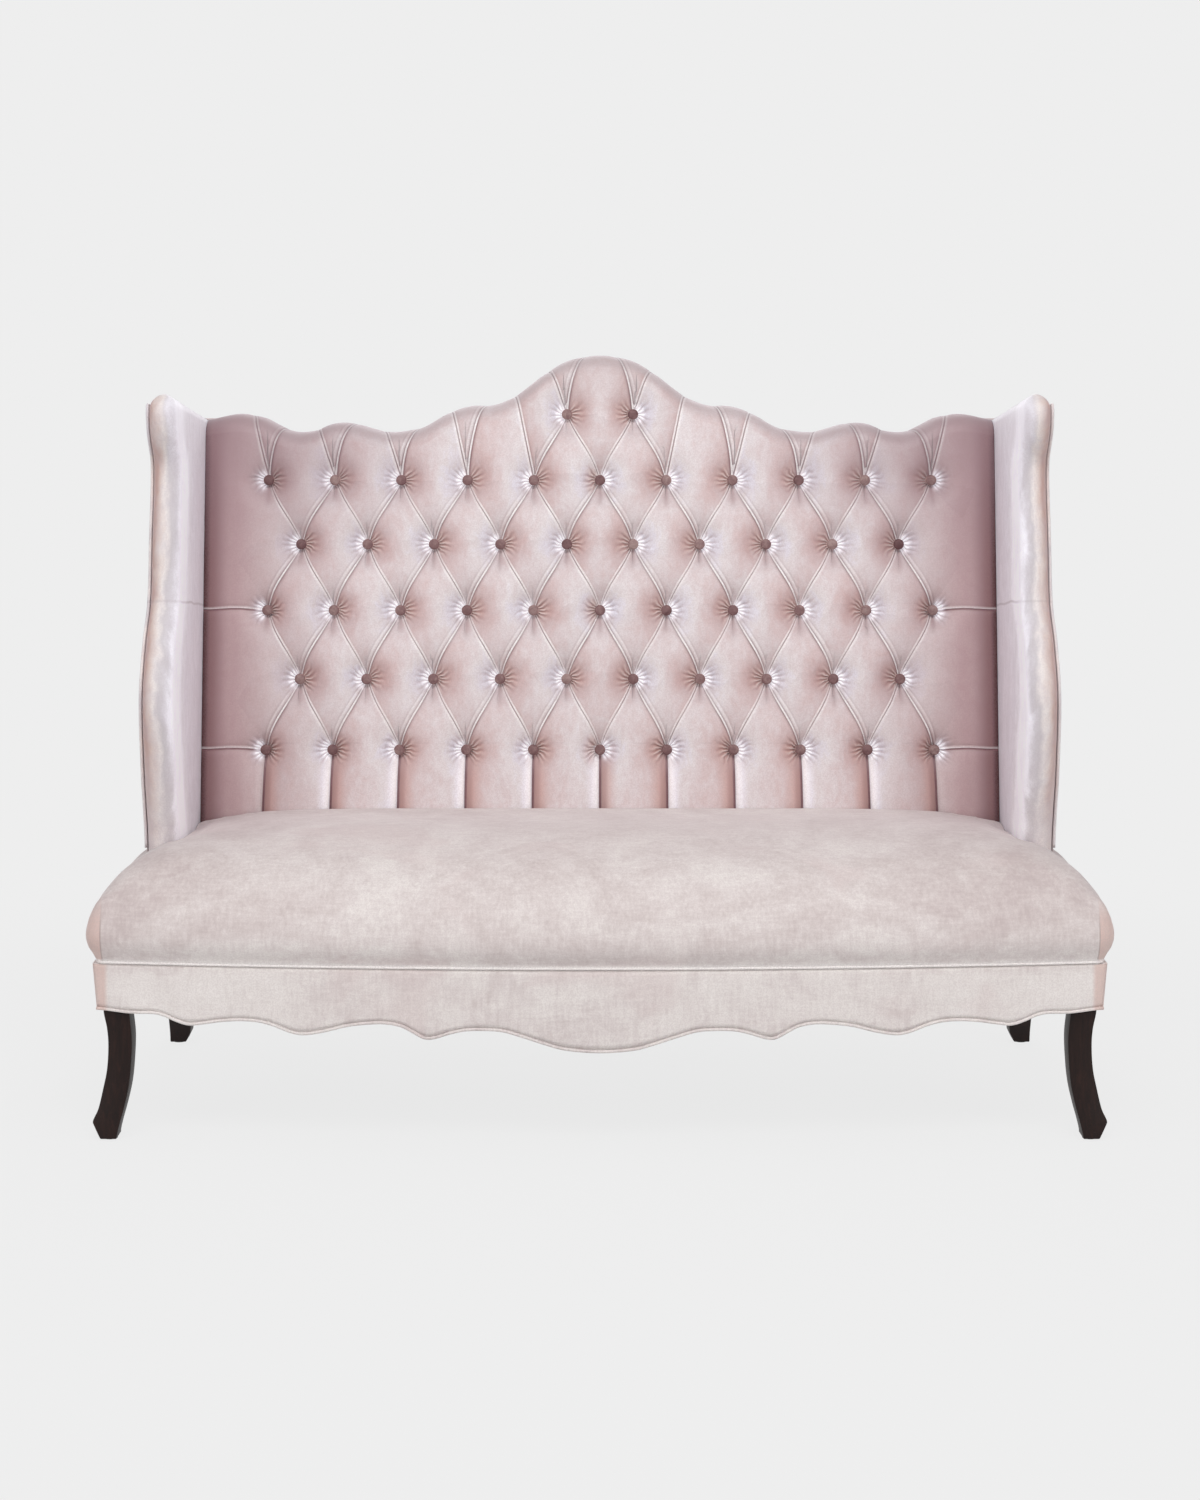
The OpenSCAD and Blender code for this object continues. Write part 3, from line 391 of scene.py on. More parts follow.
def lean(x, n, s):
    """Place, in mm, of a point x across, n in front of the back's rear face, s up its slope."""
    return (x, BACK_Y + s * math.sin(BACK_LEAN) - n * math.cos(BACK_LEAN),
            FRAME_Z + s * math.cos(BACK_LEAN) + n * math.sin(BACK_LEAN))


def thick(s):
    return THICK_LOW - (THICK_LOW - THICK_HIGH) / (CREST_LOW + CREST_RISE) * s


def pad_face_y(z):
    """Front of the back's padding at the height z."""
    s = (z - FRAME_Z) / math.cos(BACK_LEAN)
    return BACK_Y + s * math.sin(BACK_LEAN) - thick(s) / math.cos(BACK_LEAN)


def wing_front(h):
    return WAIST_Y - WING_SWEEP * curve_at(WING_SHARES, h)


def flare_at(z):
    """How far a wing's outer face stands out at the height z."""
    return WING_FLARE * (1 - (z - WING_LOW) / WING_H)


def seat_ring(out, radius, z):
    """Outline of the seat at the height z, grown by out past the apron."""
    cx = HALF_W + out - radius
    cy = BOW_Y - math.sqrt((BOW_R + out - radius) ** 2 - cx**2)
    turn = math.atan2(cy - BOW_Y, cx)
    right = [(HALF_W + out, y, z) for y in np.linspace(SEAT_REAR, cy, RING_SIDE)[:-1]]
    right += [(cx + radius * math.cos(turn * t), cy + radius * math.sin(turn * t), z)
              for t in np.linspace(0, 1, RING_CORNER)[:-1]]
    right += [((BOW_R + out) * math.cos(a), BOW_Y + (BOW_R + out) * math.sin(a), z)
              for a in np.linspace(turn, -math.pi / 2, RING_FRONT)[:-1]]
    return right + [(-x, y, z) for x, y, z in reversed(right)]


def settle(made):
    """Applies an object's modifiers to its mesh."""
    ready = made.evaluated_get(bpy.context.evaluated_depsgraph_get())
    mesh = bpy.data.meshes.new_from_object(ready)
    old, made.data = made.data, mesh
    made.modifiers.clear()
    bpy.data.meshes.remove(old)


def points_of(mesh):
    """Places of a mesh's vertices as rows of an array."""
    found = np.zeros(len(mesh.vertices) * 3, np.float32)
    mesh.vertices.foreach_get("co", found)
    return found.reshape(-1, 3)


def set_points(mesh, places):
    mesh.vertices.foreach_set("co", np.asarray(places, np.float32).ravel())
    mesh.update()


def swell(made, cap, voxel, pressure, frames, still):
    """Fills a closed cover with cloth simulation; no point moves further than cap, and the points
    that still picks stay."""
    remesh = made.modifiers.new("remesh", "REMESH")
    remesh.mode, remesh.voxel_size = "VOXEL", voxel
    settle(made)
    start = points_of(made.data)
    held = made.vertex_groups.new(name="held")
    held.add([int(i) for i in np.nonzero(still(start))[0]], 1.0, "REPLACE")
    cloth = made.modifiers.new("cloth", "CLOTH")
    cloth.settings.quality = 6
    cloth.settings.use_pressure = True
    cloth.settings.uniform_pressure_force = pressure
    cloth.settings.tension_stiffness = cloth.settings.compression_stiffness = 20
    cloth.settings.shear_stiffness = 8
    cloth.settings.bending_stiffness = 0.8
    cloth.settings.effector_weights.gravity = 0
    cloth.settings.vertex_group_mass = "held"
    cloth.collision_settings.use_self_collision = False
    cloth.point_cache.frame_start, cloth.point_cache.frame_end = 1, frames
    for step in range(1, frames + 1):
        bpy.context.scene.frame_set(step)
    settle(made)
    bpy.context.scene.frame_set(1)
    made.vertex_groups.clear()
    moved = points_of(made.data) - start
    far = np.linalg.norm(moved, axis=1, keepdims=True)
    set_points(made.data, start + moved * np.minimum(1, cap / np.maximum(far, 1e-9)))


crushed_velvet, pen, feed = finish_of(
    "crushed_velvet", Sheen_Weight=0.35, Sheen_Roughness=0.4, Sheen_Tint=paint(250, 244, 246),
    Specular_IOR_Level=0.3)
place = pen.node("TexCoord", "Object")
patches = place.noise(3.4, (1, 1, 1.6), detail=8, rough=0.68, twist=1.6)
crushes = place.noise(15, (1, 1, 0.8), detail=7, rough=0.72, twist=1.0)
strokes = place.noise(150, (1, 1, 0.16), detail=3, rough=0.6)
weft = place.noise(210, (0.14, 0.5, 1), detail=2)
pile = place.noise(380, detail=2)
aside, up = place.axis("X").size(), place.axis("Z")
# Crushed nap in patches, with painted shade and light: darker on the seat than on the apron, darker
# still towards the seat's sides, lighter on the apron's outer parts
nap_and_shade = (patches - 0.5) * 1.0 + (crushes - 0.5) * 0.6 + (strokes - 0.5) * 0.5 \
    + (weft - 0.5) * 0.3 + 0.55 - up.rise(0.32, 0.38) * 0.09 \
    - aside.rise(0.35, 0.85) * up.rise(0.33, 0.42) * 0.16 \
    + aside.rise(0.4, 0.8) * (1.0 - up.rise(0.3, 0.32)) * 0.2
tone = pen.node("ValToRGB", stops=[
    (0.12, paint(192, 177, 175)), (0.33, paint(206, 194, 191)), (0.5, paint(216, 206, 203)),
    (0.64, paint(224, 216, 212)), (0.86, paint(231, 224, 220))], sockets={0: nap_and_shade})
# Blush clouds, and painted shade in peach on the side panels past the corner seams
tone = (place.noise(4.5, detail=3, twist=0.8).rise(0.56, 0.7) * 0.3).blend(
    tone, paint(206, 186, 184))
panel_shade = pen.math("MAXIMUM", aside.rise(0.908, 0.911) * (1.0 - up.rise(0.395, 0.455)),
                 aside.rise(0.897, 0.908) * (1.0 - up.rise(0.32, 0.323)))
tone = (panel_shade * 0.8).blend(tone, (crushes * 0.5 + 0.1).blend(paint(204, 172, 162),
                                                            paint(220, 196, 188)))
# Painted shade in the crease of each corner seam
seam = (1.0 - ((aside - 0.909) * 1000.0).size().rise(0.4, 2.0)) * (1.0 - up.rise(0.38, 0.44)) \
    * up.rise(0.323, 0.33) * (0.0 - place.axis("Y")).rise(0.1, 0.2)
tone = (seam * 0.45).blend(tone, paint(140, 108, 104))
# Painted highlight along the seat's piping
tone = (up.rise(0.3215, 0.3235) * (1.0 - up.rise(0.329, 0.334)) * 0.8).blend(
    tone, paint(246, 240, 237))
feed("Base Color", (pile.rise(0.35, 0.65) * 0.26).blend(tone, paint(180, 164, 162)))
feed("Roughness", 0.5 + crushes * 0.25)
feed("Normal", pen.node("Bump", sockets={
    "Strength": 0.3, "Distance": 0.0014,
    "Height": crushes * 0.6 + strokes * 0.3 + pile * 0.2 - seam * 1.5}))

tall = SEAT_TOP - SEAT_LOW
# The filling draws the cover's sides in by this much, so it is cut wider
FILL_PULL = 3
# How far the seat falls towards the back, and further towards the wings
REAR_FALL, SIDE_FALL = 13, 5
# Metres over which that fall sets in: towards the rear, towards the sides, and upwards
FALL_DEPTHS, FALL_WIDTHS, FALL_HEIGHTS = [-0.22, 0.1], [0.45, 0.8], [0.42, 0.5]
HOLLOWS = 26
# Rows of the cover below and above the line where its crown starts
SIDE_ROWS, CROWN_ROWS = 14, 17
levels = np.linspace(0, CROWN_SHARES[0][0], SIDE_ROWS)
rings = [seat_ring(SEAT_BULGE * curve_at(SEAT_SHARES, h) + FILL_PULL * min(1, h * 8),
                   CORNER_R + SEAT_BULGE * max(0.0, curve_at(SEAT_SHARES, h)), SEAT_LOW + h * tall)
         for h in levels]
heights, runs = np.array(CROWN_SHARES).T
for run in np.linspace(0.03, 1, CROWN_ROWS):
    h = float(np.interp(run, runs, heights))
    rings.append(seat_ring(-run * CROWN_RUN, CORNER_R + run * CROWN_RUN * 0.5 + SEAT_BULGE,
                           SEAT_LOW + h * tall))
seat = solid("seat_cutting", loft(rings))

# The back's padding and the wings' feet are cut out of the seat with this much room
BACK_ROOM, WING_ROOM = 0.5, 1
CUT_LOW, CUT_HIGH, CUT_REAR, CUT_OVER = 250, 600, 500, 6
# The cover is held up to this height over its lower edge, and behind this depth in metres
HEM_HELD, REAR_HELD = 7, 0.15
back_wedge = bmesh.new()
bmesh.ops.create_cube(back_wedge, size=1)
for v in back_wedge.verts:
    z = CUT_LOW if v.co.z < 0 else CUT_HIGH
    wide = math.copysign(WING_IN + WING_T / 2, v.co.x)
    v.co = Vector((wide, pad_face_y(z) - BACK_ROOM if v.co.y < 0 else CUT_REAR, z)) * MM
cutters = [solid("back_wedge", back_wedge)]
for side in (1, -1):
    slot = bmesh.new()
    edge = [(float(wing_front(max(h, 0))) - WING_ROOM, WING_LOW + h * WING_H)
            for h in np.linspace(-0.02, 0.25, 12)]
    corners = edge + [(CUT_REAR, edge[-1][1]), (CUT_REAR, edge[0][1])]
    face = slot.faces.new([slot.verts.new(Vector((side * (WING_IN - WING_ROOM), y, z)) * MM)
                           for y, z in corners])
    grown = bmesh.ops.extrude_face_region(slot, geom=[face])["geom"]
    bmesh.ops.translate(slot, vec=Vector((side * (WING_T + WING_FLARE + CUT_OVER) * MM, 0, 0)),
                        verts=[g for g in grown if isinstance(g, bmesh.types.BMVert)])
    bmesh.ops.recalc_face_normals(slot, faces=slot.faces)
    cutters.append(solid("wing_slot", slot))
for cutter in cutters:
    cut = seat.modifiers.new("cut", "BOOLEAN")
    cut.operation, cut.object, cut.solver = "DIFFERENCE", cutter, "EXACT"
settle(seat)
for cutter in cutters:
    bpy.data.objects.remove(cutter)

swell(seat, cap=0.004, voxel=0.0065, pressure=5.0, frames=12,
      still=lambda p: (p[:, 2] < (SEAT_LOW + HEM_HELD) * MM) | (p[:, 1] > REAR_HELD))
co = points_of(seat.data)
behind = np.interp(co[:, 1], FALL_DEPTHS, [0, 1]) ** 1.5
beside = np.interp(np.abs(co[:, 0]), FALL_WIDTHS, [0, 1])
high = np.interp(co[:, 2], FALL_HEIGHTS, [0, 1])
co[:, 2] -= (REAR_FALL + SIDE_FALL * beside) * MM * behind * high
# Shallow hollows and rises of the filling
random.seed(7)
for _ in range(HOLLOWS):
    x0, y0 = random.uniform(-0.85, 0.85), random.uniform(-0.42, 0.1)
    wide, size = random.uniform(0.05, 0.16), random.uniform(-0.0012, 0.001)
    reach = ((co[:, 0] - x0) / wide) ** 2 + ((co[:, 1] - y0) / (wide * 0.5)) ** 2
    co[:, 2] += size * np.exp(-reach) * (co[:, 2] > 0.4)
set_points(seat.data, co)
seat.name = seat.data.name = "padded_seat"
finish(seat, crushed_velvet, "velvet_seat", "seat_pad")

# Seat welt: velvet piping over a cord, sewn between the seat and the apron all round the
# front and the sides.

WELT_R = 3


def piping(name, path, material, slot, *nodes):
    """Tube of covered cord along a path given in mm."""
    line = bpy.data.curves.new(name, "CURVE")
    line.dimensions, line.bevel_depth, line.bevel_resolution = "3D", WELT_R * MM, 3
    line.use_fill_caps = True
    run = line.splines.new("POLY")
    run.points.add(len(path) - 1)
    for point, p in zip(run.points, path):
        point.co = (*(Vector(p) * MM), 1)
    scratch = bpy.data.objects.new(name + "_line", line)
    bpy.context.scene.collection.objects.link(scratch)
    mesh = bpy.data.meshes.new_from_object(
        scratch.evaluated_get(bpy.context.evaluated_depsgraph_get()))
    bpy.data.objects.remove(scratch)
    bm = bmesh.new()
    bm.from_mesh(mesh)
    bmesh.ops.remove_doubles(bm, verts=bm.verts, dist=0.00001)
    bmesh.ops.recalc_face_normals(bm, faces=bm.faces)
    return piece(name, bm, material, slot, *nodes)


ring = seat_ring(-1, CORNER_R, SEAT_LOW + WELT_R + 2 * ROOM)
piping("seat_piping", ring, crushed_velvet, "velvet_seat", "seat_welt")

# Apron: velvet stretched over a sawn, scalloped board along the bowed front, with piping along
# the lower edge, and plain velvet ends on the side rails.

APRON_Z, APRON_DROP, SIDE_FLARE = 241, 66, 7
APRON_COLUMNS, APRON_ROWS = 460, 14
# Rounding of the apron's two ends, and how far it turns them back
END_R, END_BACK = 12, 4
# How far the cloth is drawn in at its upper and its lower edge, over what height, and how far
# it waves between them
DRAWN_TOP, DRAWN_LOW, DRAWN_RUN, WAVE = 1.2, 0.8, 5, 0.35
COVER_IN, PIPING_IN = 0.2, 2
COVER_T = 0.003
APRON_SHARES = [[0, 1], [0.035, 0.98], [0.075, 0.91], [0.11, 0.77], [0.15, 0.59], [0.19, 0.43],
                [0.225, 0.395], [0.265, 0.41], [0.295, 0.5], [0.325, 0.63], [0.345, 0.64],
                [0.37, 0.46], [0.39, 0.32], [0.42, 0.24], [0.46, 0.255], [0.5, 0.33],
                [0.545, 0.49], [0.585, 0.575], [0.61, 0.52], [0.645, 0.34], [0.675, 0.24],
                [0.71, 0.215], [0.75, 0.255], [0.79, 0.34], [0.815, 0.37], [0.84, 0.27],
                [0.865, 0.13], [0.885, 0.075], [0.93, 0.08], [1, 0]]


def apron_z(x):
    return APRON_Z - APRON_DROP * curve_at(APRON_SHARES, np.minimum(np.abs(x) / HALF_W, 1))


def bow_y(x, inset):
    return BOW_Y - np.sqrt((BOW_R - inset) ** 2 - x**2)


def sheet_grid(name, columns, rows, shape):
    """Grid object of columns by rows squares; shape turns column and row numbers into mm."""
    bm = bmesh.new()
    bmesh.ops.create_grid(bm, x_segments=columns, y_segments=rows, size=0.5)
    made = solid(name, bm)
    flat = points_of(made.data)
    x, y, z = shape(np.rint((flat[:, 0] + 0.5) * columns), np.rint((flat[:, 1] + 0.5) * rows))
    set_points(made.data, np.stack([x, y, z], axis=1) * MM)
    return made


def stretch_over(name, columns, rows, shape, cloth_t, grow, material, slot, node):
    """Sheet of cloth of some thickness, which grows to both sides at 0 and inwards at -1."""
    made = sheet_grid(name, columns, rows, shape)
    thicken = made.modifiers.new("thicken", "SOLIDIFY")
    thicken.thickness, thicken.offset = cloth_t, grow
    settle(made)
    return finish(made, material, slot, node)


def apron_shape(i, j):
    x = (i / APRON_COLUMNS * 2 - 1) * (HALF_W - 0.5)
    low, high = apron_z(x) + WELT_R, SEAT_LOW
    z = low + (high - low) * j / APRON_ROWS
    edge = np.maximum(0, np.abs(x) - (HALF_W - END_R)) / END_R
    x = x * (1 + SIDE_FLARE / HALF_W * j / APRON_ROWS)
    drawn = DRAWN_TOP * np.exp(-((high - z) / DRAWN_RUN) ** 2) \
        + DRAWN_LOW * np.exp(-((z - low) / DRAWN_RUN) ** 2)
    wave = WAVE * np.sin(x / 41 + 2 * np.sin(x / 173)) * np.sin(z / 17)
    return x, bow_y(x, COVER_IN) + END_BACK * edge**2 + drawn + wave, z


apron = stretch_over("apron_velvet", APRON_COLUMNS, APRON_ROWS, apron_shape, COVER_T, -1,
                     crushed_velvet, "velvet_seat", "apron_cover")

x = np.linspace(-HALF_W, HALF_W, 420)
piping("apron_piping", np.stack([x, bow_y(x, PIPING_IN), apron_z(x) - ROOM], axis=1), crushed_velvet,
       "velvet_seat", "apron_welt")
dress(crushed_velvet, "side_cover_left", "side_cover_right")

# Tufted back: deep padding under one velvet cover, drawn down by 55 buttons in diamonds, with
# folded tucks between them, sewn channels at its foot, and rolled over the serpentine crest.

CREST_SHARES = [[0, 1], [0.0491, 0.975], [0.0982, 0.89], [0.1423, 0.75], [0.1816, 0.59],
                [0.2209, 0.455], [0.265, 0.36], [0.3288, 0.335], [0.3828, 0.255],
                [0.4417, 0.085], [0.4908, 0.015], [0.5301, 0], [0.5742, 0.04],
                [0.6184, 0.105], [0.6528, 0.12], [0.6871, 0.095], [0.7313, 0.015],
                [0.7706, 0], [0.8147, 0.08], [0.8589, 0.19], [0.9129, 0.242], [1, 0.205]]
CREST_ROLL = 45
TUFT_SIDE = 132
TUFT_HALF = WING_IN - TUFT_SIDE
PITCH = TUFT_HALF / 5
TUFT_LOW, TUFT_H = 384, 690
ROW_SHARES = [0, 0.209, 0.413, 0.61, 0.802, 1]
ROWS = [TUFT_LOW + TUFT_H * share for share in ROW_SHARES]
TUFT_DEEP = 38
PAD_HALF, PAD_LOW = WING_IN - ROOM, 200
PAD_REAR, FRAME_BACK, FRAME_FRONT = 38.4, 4.3, 36.3
HALF_STEPS, FOOT_STEPS, BAND_STEPS, TOP_STEPS = 24, 32, 26, 40
ROLL_STEPS, FLAT_STEPS, DROP_STEPS, SIDE_STEPS = 16, 4, 3, 40
HEM_STEPS, REAR_STEPS = 2, 12
# How far the folds bow outwards, and over what length the buttons draw them deeper
RIDGE_BOW, PAIR_BOW, FOLD_FADE, SEAM_FADE, SIDE_FADE, TOP_FADE = 4, 1, 19, 22, 16, 24
# How far chance bends a fold, and how much steeper the fold runs at its buttons
FOLD_SWAY, FOLD_STEEP = 1.5, 0.04
# Drops hang under each button and stand over the outermost ones: gap to the button, least and
# greatest length of the lower ones, length of the upper ones, and how far chance tilts them
DROP_GAP, DROP_FALL, DROP_RISE, DROP_SWAY = 6, (38, 58), 34, 2
# How far the outermost channel seams drift outwards, and all run on past the cover's lower edge
SEAM_DRIFT, SEAM_OVER = 6, 10
# How far the creases to the wings climb and sway, and the top folds run on over the crest
CREASE_RISE, CREASE_SWAY, CREST_OVER = 5, 4, 30
# Length of the cover over the crest's roll, the roll's least thickness, and how far the cover
# falls across the top of the frame and behind it
ROLL_RUN, ROLL_LEAST, BEHIND_FLAT, BEHIND_DROP = 75, 20, 2.4, 11.4


def crest_s(x):
    return CREST_LOW + CREST_RISE * curve_at(CREST_SHARES, np.minimum(np.abs(x) / WING_IN, 1))


def buttons():
    """Every button as (row, x, s), row by row from the seat up."""
    for row, s in enumerate(ROWS[:5]):
        half = 5 if row % 2 == 0 else 4.5
        for k in range(int(2 * half) + 1):
            yield row, (k - half) * PITCH, s
    for x in (-0.5, 0.5):
        yield 5, x * PITCH, ROWS[5]


def fading(least, run, reach):
    """Share that starts at 1 and falls to the least one along a run."""
    return least + (1 - least) * np.exp(-run / reach)


def tucks():
    """Every fold in the cover: its kind, its points (x, s), and at each its depth share and
    how strongly it is marked."""
    random.seed(11)
    placed = list(buttons())
    for row, x, s in placed:
        for row2, x2, s2 in placed:
            if row2 == row + 1 and abs(abs(x2 - x) - PITCH / 2) < 1:
                t = np.linspace(0, 1, 11)
                inward = (x2 - x) * (x + x2) < 0
                bow, middle = (RIDGE_BOW, 0.2) if inward else (PAIR_BOW, 0.1)
                bend = random.uniform(-FOLD_SWAY, FOLD_SWAY) - bow * math.copysign(1, x2 - x)
                line = np.stack([x + (x2 - x) * (t - FOLD_STEEP * np.sin(2 * math.pi * t))
                                 + bend * np.sin(math.pi * t), s + (s2 - s) * t], axis=1)
                ends = np.minimum(t, 1 - t) * math.hypot(x2 - x, s2 - s)
                yield "ridge" if inward else "pair", line, \
                    fading(middle, ends, FOLD_FADE), 0.85 + 0.15 * np.cos(t * 9 + x)
    for row, x, s in placed:
        if row < 5:
            t = np.linspace(0, 1, 5)
            fall = random.uniform(*DROP_FALL) if row else 0
            if fall:
                line = np.stack([x + random.uniform(-DROP_SWAY, DROP_SWAY) * t,
                                 s - DROP_GAP - fall * t], axis=1)
                yield "drop", line, 0.16 * (1 - t), 1 - t**2.5
            if abs(x) > TUFT_HALF - 1 and row < 4:
                line = np.stack([x + random.uniform(-DROP_SWAY, DROP_SWAY) * t,
                                 s + DROP_GAP + DROP_RISE * t], axis=1)
                yield "drop", line, 0.12 * (1 - t), 0.7 * (1 - t) ** 0.8
        if row == 0:
            t = np.linspace(0, 1, 6)
            drift = math.copysign(SEAM_DRIFT, x) * (abs(x) > 1) * abs(x) / TUFT_HALF
            line = np.stack([x + drift * t, s + (PAD_LOW - SEAM_OVER - s) * t], axis=1)
            yield "seam", line, fading(0.56, t * (s - PAD_LOW), SEAM_FADE), 1 + 0 * t
        if row in (0, 2) and abs(x) > TUFT_HALF - 1:
            t = np.linspace(0, 1, 8)
            sway = CREASE_SWAY * np.sin(math.pi * t * 1.6)
            line = np.stack([x + math.copysign(TUFT_SIDE, x) * t,
                             s + CREASE_RISE * t + sway * t], axis=1)
            yield "crease", line, fading(0.2, t * TUFT_SIDE, SIDE_FADE), 1 - 0.25 * t
        if row >= 4:
            away = math.copysign(1, x)
            for way in (-1, 1):
                inner = row == 4 and abs(x) < 1.1 * PITCH and way * x <= 0.1
                if inner or (row == 4 and abs(x) < 0.1 * PITCH):
                    continue
                t = np.linspace(0, 1, 10)
                x_end = x + way * PITCH * random.uniform(0.27, 0.33)
                s_end = float(crest_s(x_end)) + CREST_OVER
                outer = way == away
                bow = t if outer else t ** 1.7
                line = np.stack([x + (x_end - x) * bow, s + (s_end - s) * t], axis=1)
                yield "pair" if outer else "ridge", line, \
                    fading(0.26, t * (s_end - s), TOP_FADE), 1.2 - 0.3 * t
                if outer and row == 4:
                    line = np.stack([x + (x_end - x) * 0.45 * t, s + (s_end - s) * 0.6 * t],
                                    axis=1)
                    yield "drop", line, 0.1 * (1 - t), 0.6 * (1 - t) ** 0.7


# A drop paints shade on the velvet by its own attribute, the other kinds of tuck by their numbers
KINDS = {"ridge": 0.0, "pair": 1.0, "seam": 2.0, "crease": 3.0}
# Share and reach of each kind's sharp pull on the cover, and reach and power of its soft one
PULLS = {"ridge": (0.4, 7, 30, 1.6), "pair": (0.4, 7, 30, 1.6), "seam": (0.5, 6, 30, 1.7),
         "crease": (0.75, 5, 22, 1.5), "drop": (0.75, 5, 22, 1.5)}
# Distance past which a tuck no longer marks the velvet, and past which it no longer pulls it
TUCK_REACH, PULL_REACH = 45, 100
# Share and reach of the buttons' own pull, and reach of a drop's painted shade
BUTTON_PULL, BUTTON_REACH, DROP_REACH = 0.6, 15, 5.5


def tuft(x, s):
    """Depth share left after every tuck; for the nearest tuck the cosine and sine of the
    distance to it, positive on its inner side, its mark and its kind; the mark of the drops;
    for the nearest button the way from it, outward and upward, and the distance."""
    left = np.ones(len(x))
    offset, kind, mark = np.full(len(x), 2.0 * TUCK_REACH), np.zeros(len(x)), np.zeros(len(x))
    drops = np.zeros(len(x))
    for name, line, share, shade_strength in tucks():
        low, high = line.min(axis=0) - PULL_REACH, line.max(axis=0) + PULL_REACH
        near = np.nonzero((x > low[0]) & (x < high[0]) & (s > low[1]) & (s < high[1]))[0]
        px, ps = x[near], s[near]
        best, side, deep = np.full(len(near), 1e9), np.ones(len(near)), np.zeros(len(near))
        shade, outward = np.zeros(len(near)), -1 if line[:, 0].mean() > 1 else 1
        wide = np.ones(len(near))
        for k in range(len(line) - 1):
            a, d = line[k], line[k + 1] - line[k]
            t = np.clip(((px - a[0]) * d[0] + (ps - a[1]) * d[1]) / (d @ d), 0, 1)
            ex, es = px - a[0] - t * d[0], ps - a[1] - t * d[1]
            gap = np.hypot(ex, es)
            hit = gap < best
            best[hit] = gap[hit]
            up = -np.sign(d[0]) if name == "crease" else np.sign(d[1]) * outward
            side[hit] = (up * np.sign(d[1] * ex - d[0] * es))[hit]
            deep[hit] = (share[k] + (share[k + 1] - share[k]) * t)[hit]
            shade[hit] = (shade_strength[k] + (shade_strength[k + 1] - shade_strength[k]) * t)[hit]
            # A fold between two buttons is narrow at both its ends
            if name in ("ridge", "pair") and shade_strength[0] < 1.1:
                wide[hit] = (0.5 + 0.5 * np.sin(math.pi * (k + t) / (len(line) - 1)))[hit]
        sharp, close, far, power = PULLS[name]
        pull = sharp * np.exp(-best / close) + (1 - sharp) * np.exp(-(best / far) ** power)
        left[near] *= 1 - deep * pull
        if name == "drop":
            drops[near] = np.maximum(drops[near], shade * np.exp(-(best / DROP_REACH) ** 2))
            continue
        closer = best < np.abs(offset[near])
        offset[near[closer]] = (best / wide * np.where(side == 0, 1, side))[closer]
        mark[near[closer]] = shade[closer]
        kind[near[closer]] = KINDS[name]
    phase = np.clip(offset / TUCK_REACH, -1, 1) * math.pi
    nearest, out, up = np.full(len(x), 1e9), np.ones(len(x)), np.ones(len(x))
    for row, bx, bs in buttons():
        gap = np.hypot(x - bx, s - bs)
        hit = gap < nearest
        nearest[hit], up[hit] = gap[hit], (s - bs)[hit]
        out[hit] = (x - bx)[hit] * (1 if bx > -1 else -1)
    left *= 1 - BUTTON_PULL * np.exp(-(nearest / BUTTON_REACH) ** 2)
    away = np.maximum(nearest, 0.01)
    return left, {"tuck_phase": np.stack([np.cos(phase), np.sin(phase), mark], axis=1),
                  "tuck_kind": kind, "drop_shade": drops,
                  "button_way": np.stack([out / away, up / away, nearest * MM], axis=1)}


tuft_facts = {}


def note(mesh, name, values):
    """Stores a number or a vector for every vertex, for the material to read."""
    kind, key = ("FLOAT", "value") if np.ndim(values) == 1 else ("FLOAT_VECTOR", "vector")
    layer = mesh.attributes.new(name, kind, "POINT")
    layer.data.foreach_set(key, np.asarray(values, np.float32).ravel())


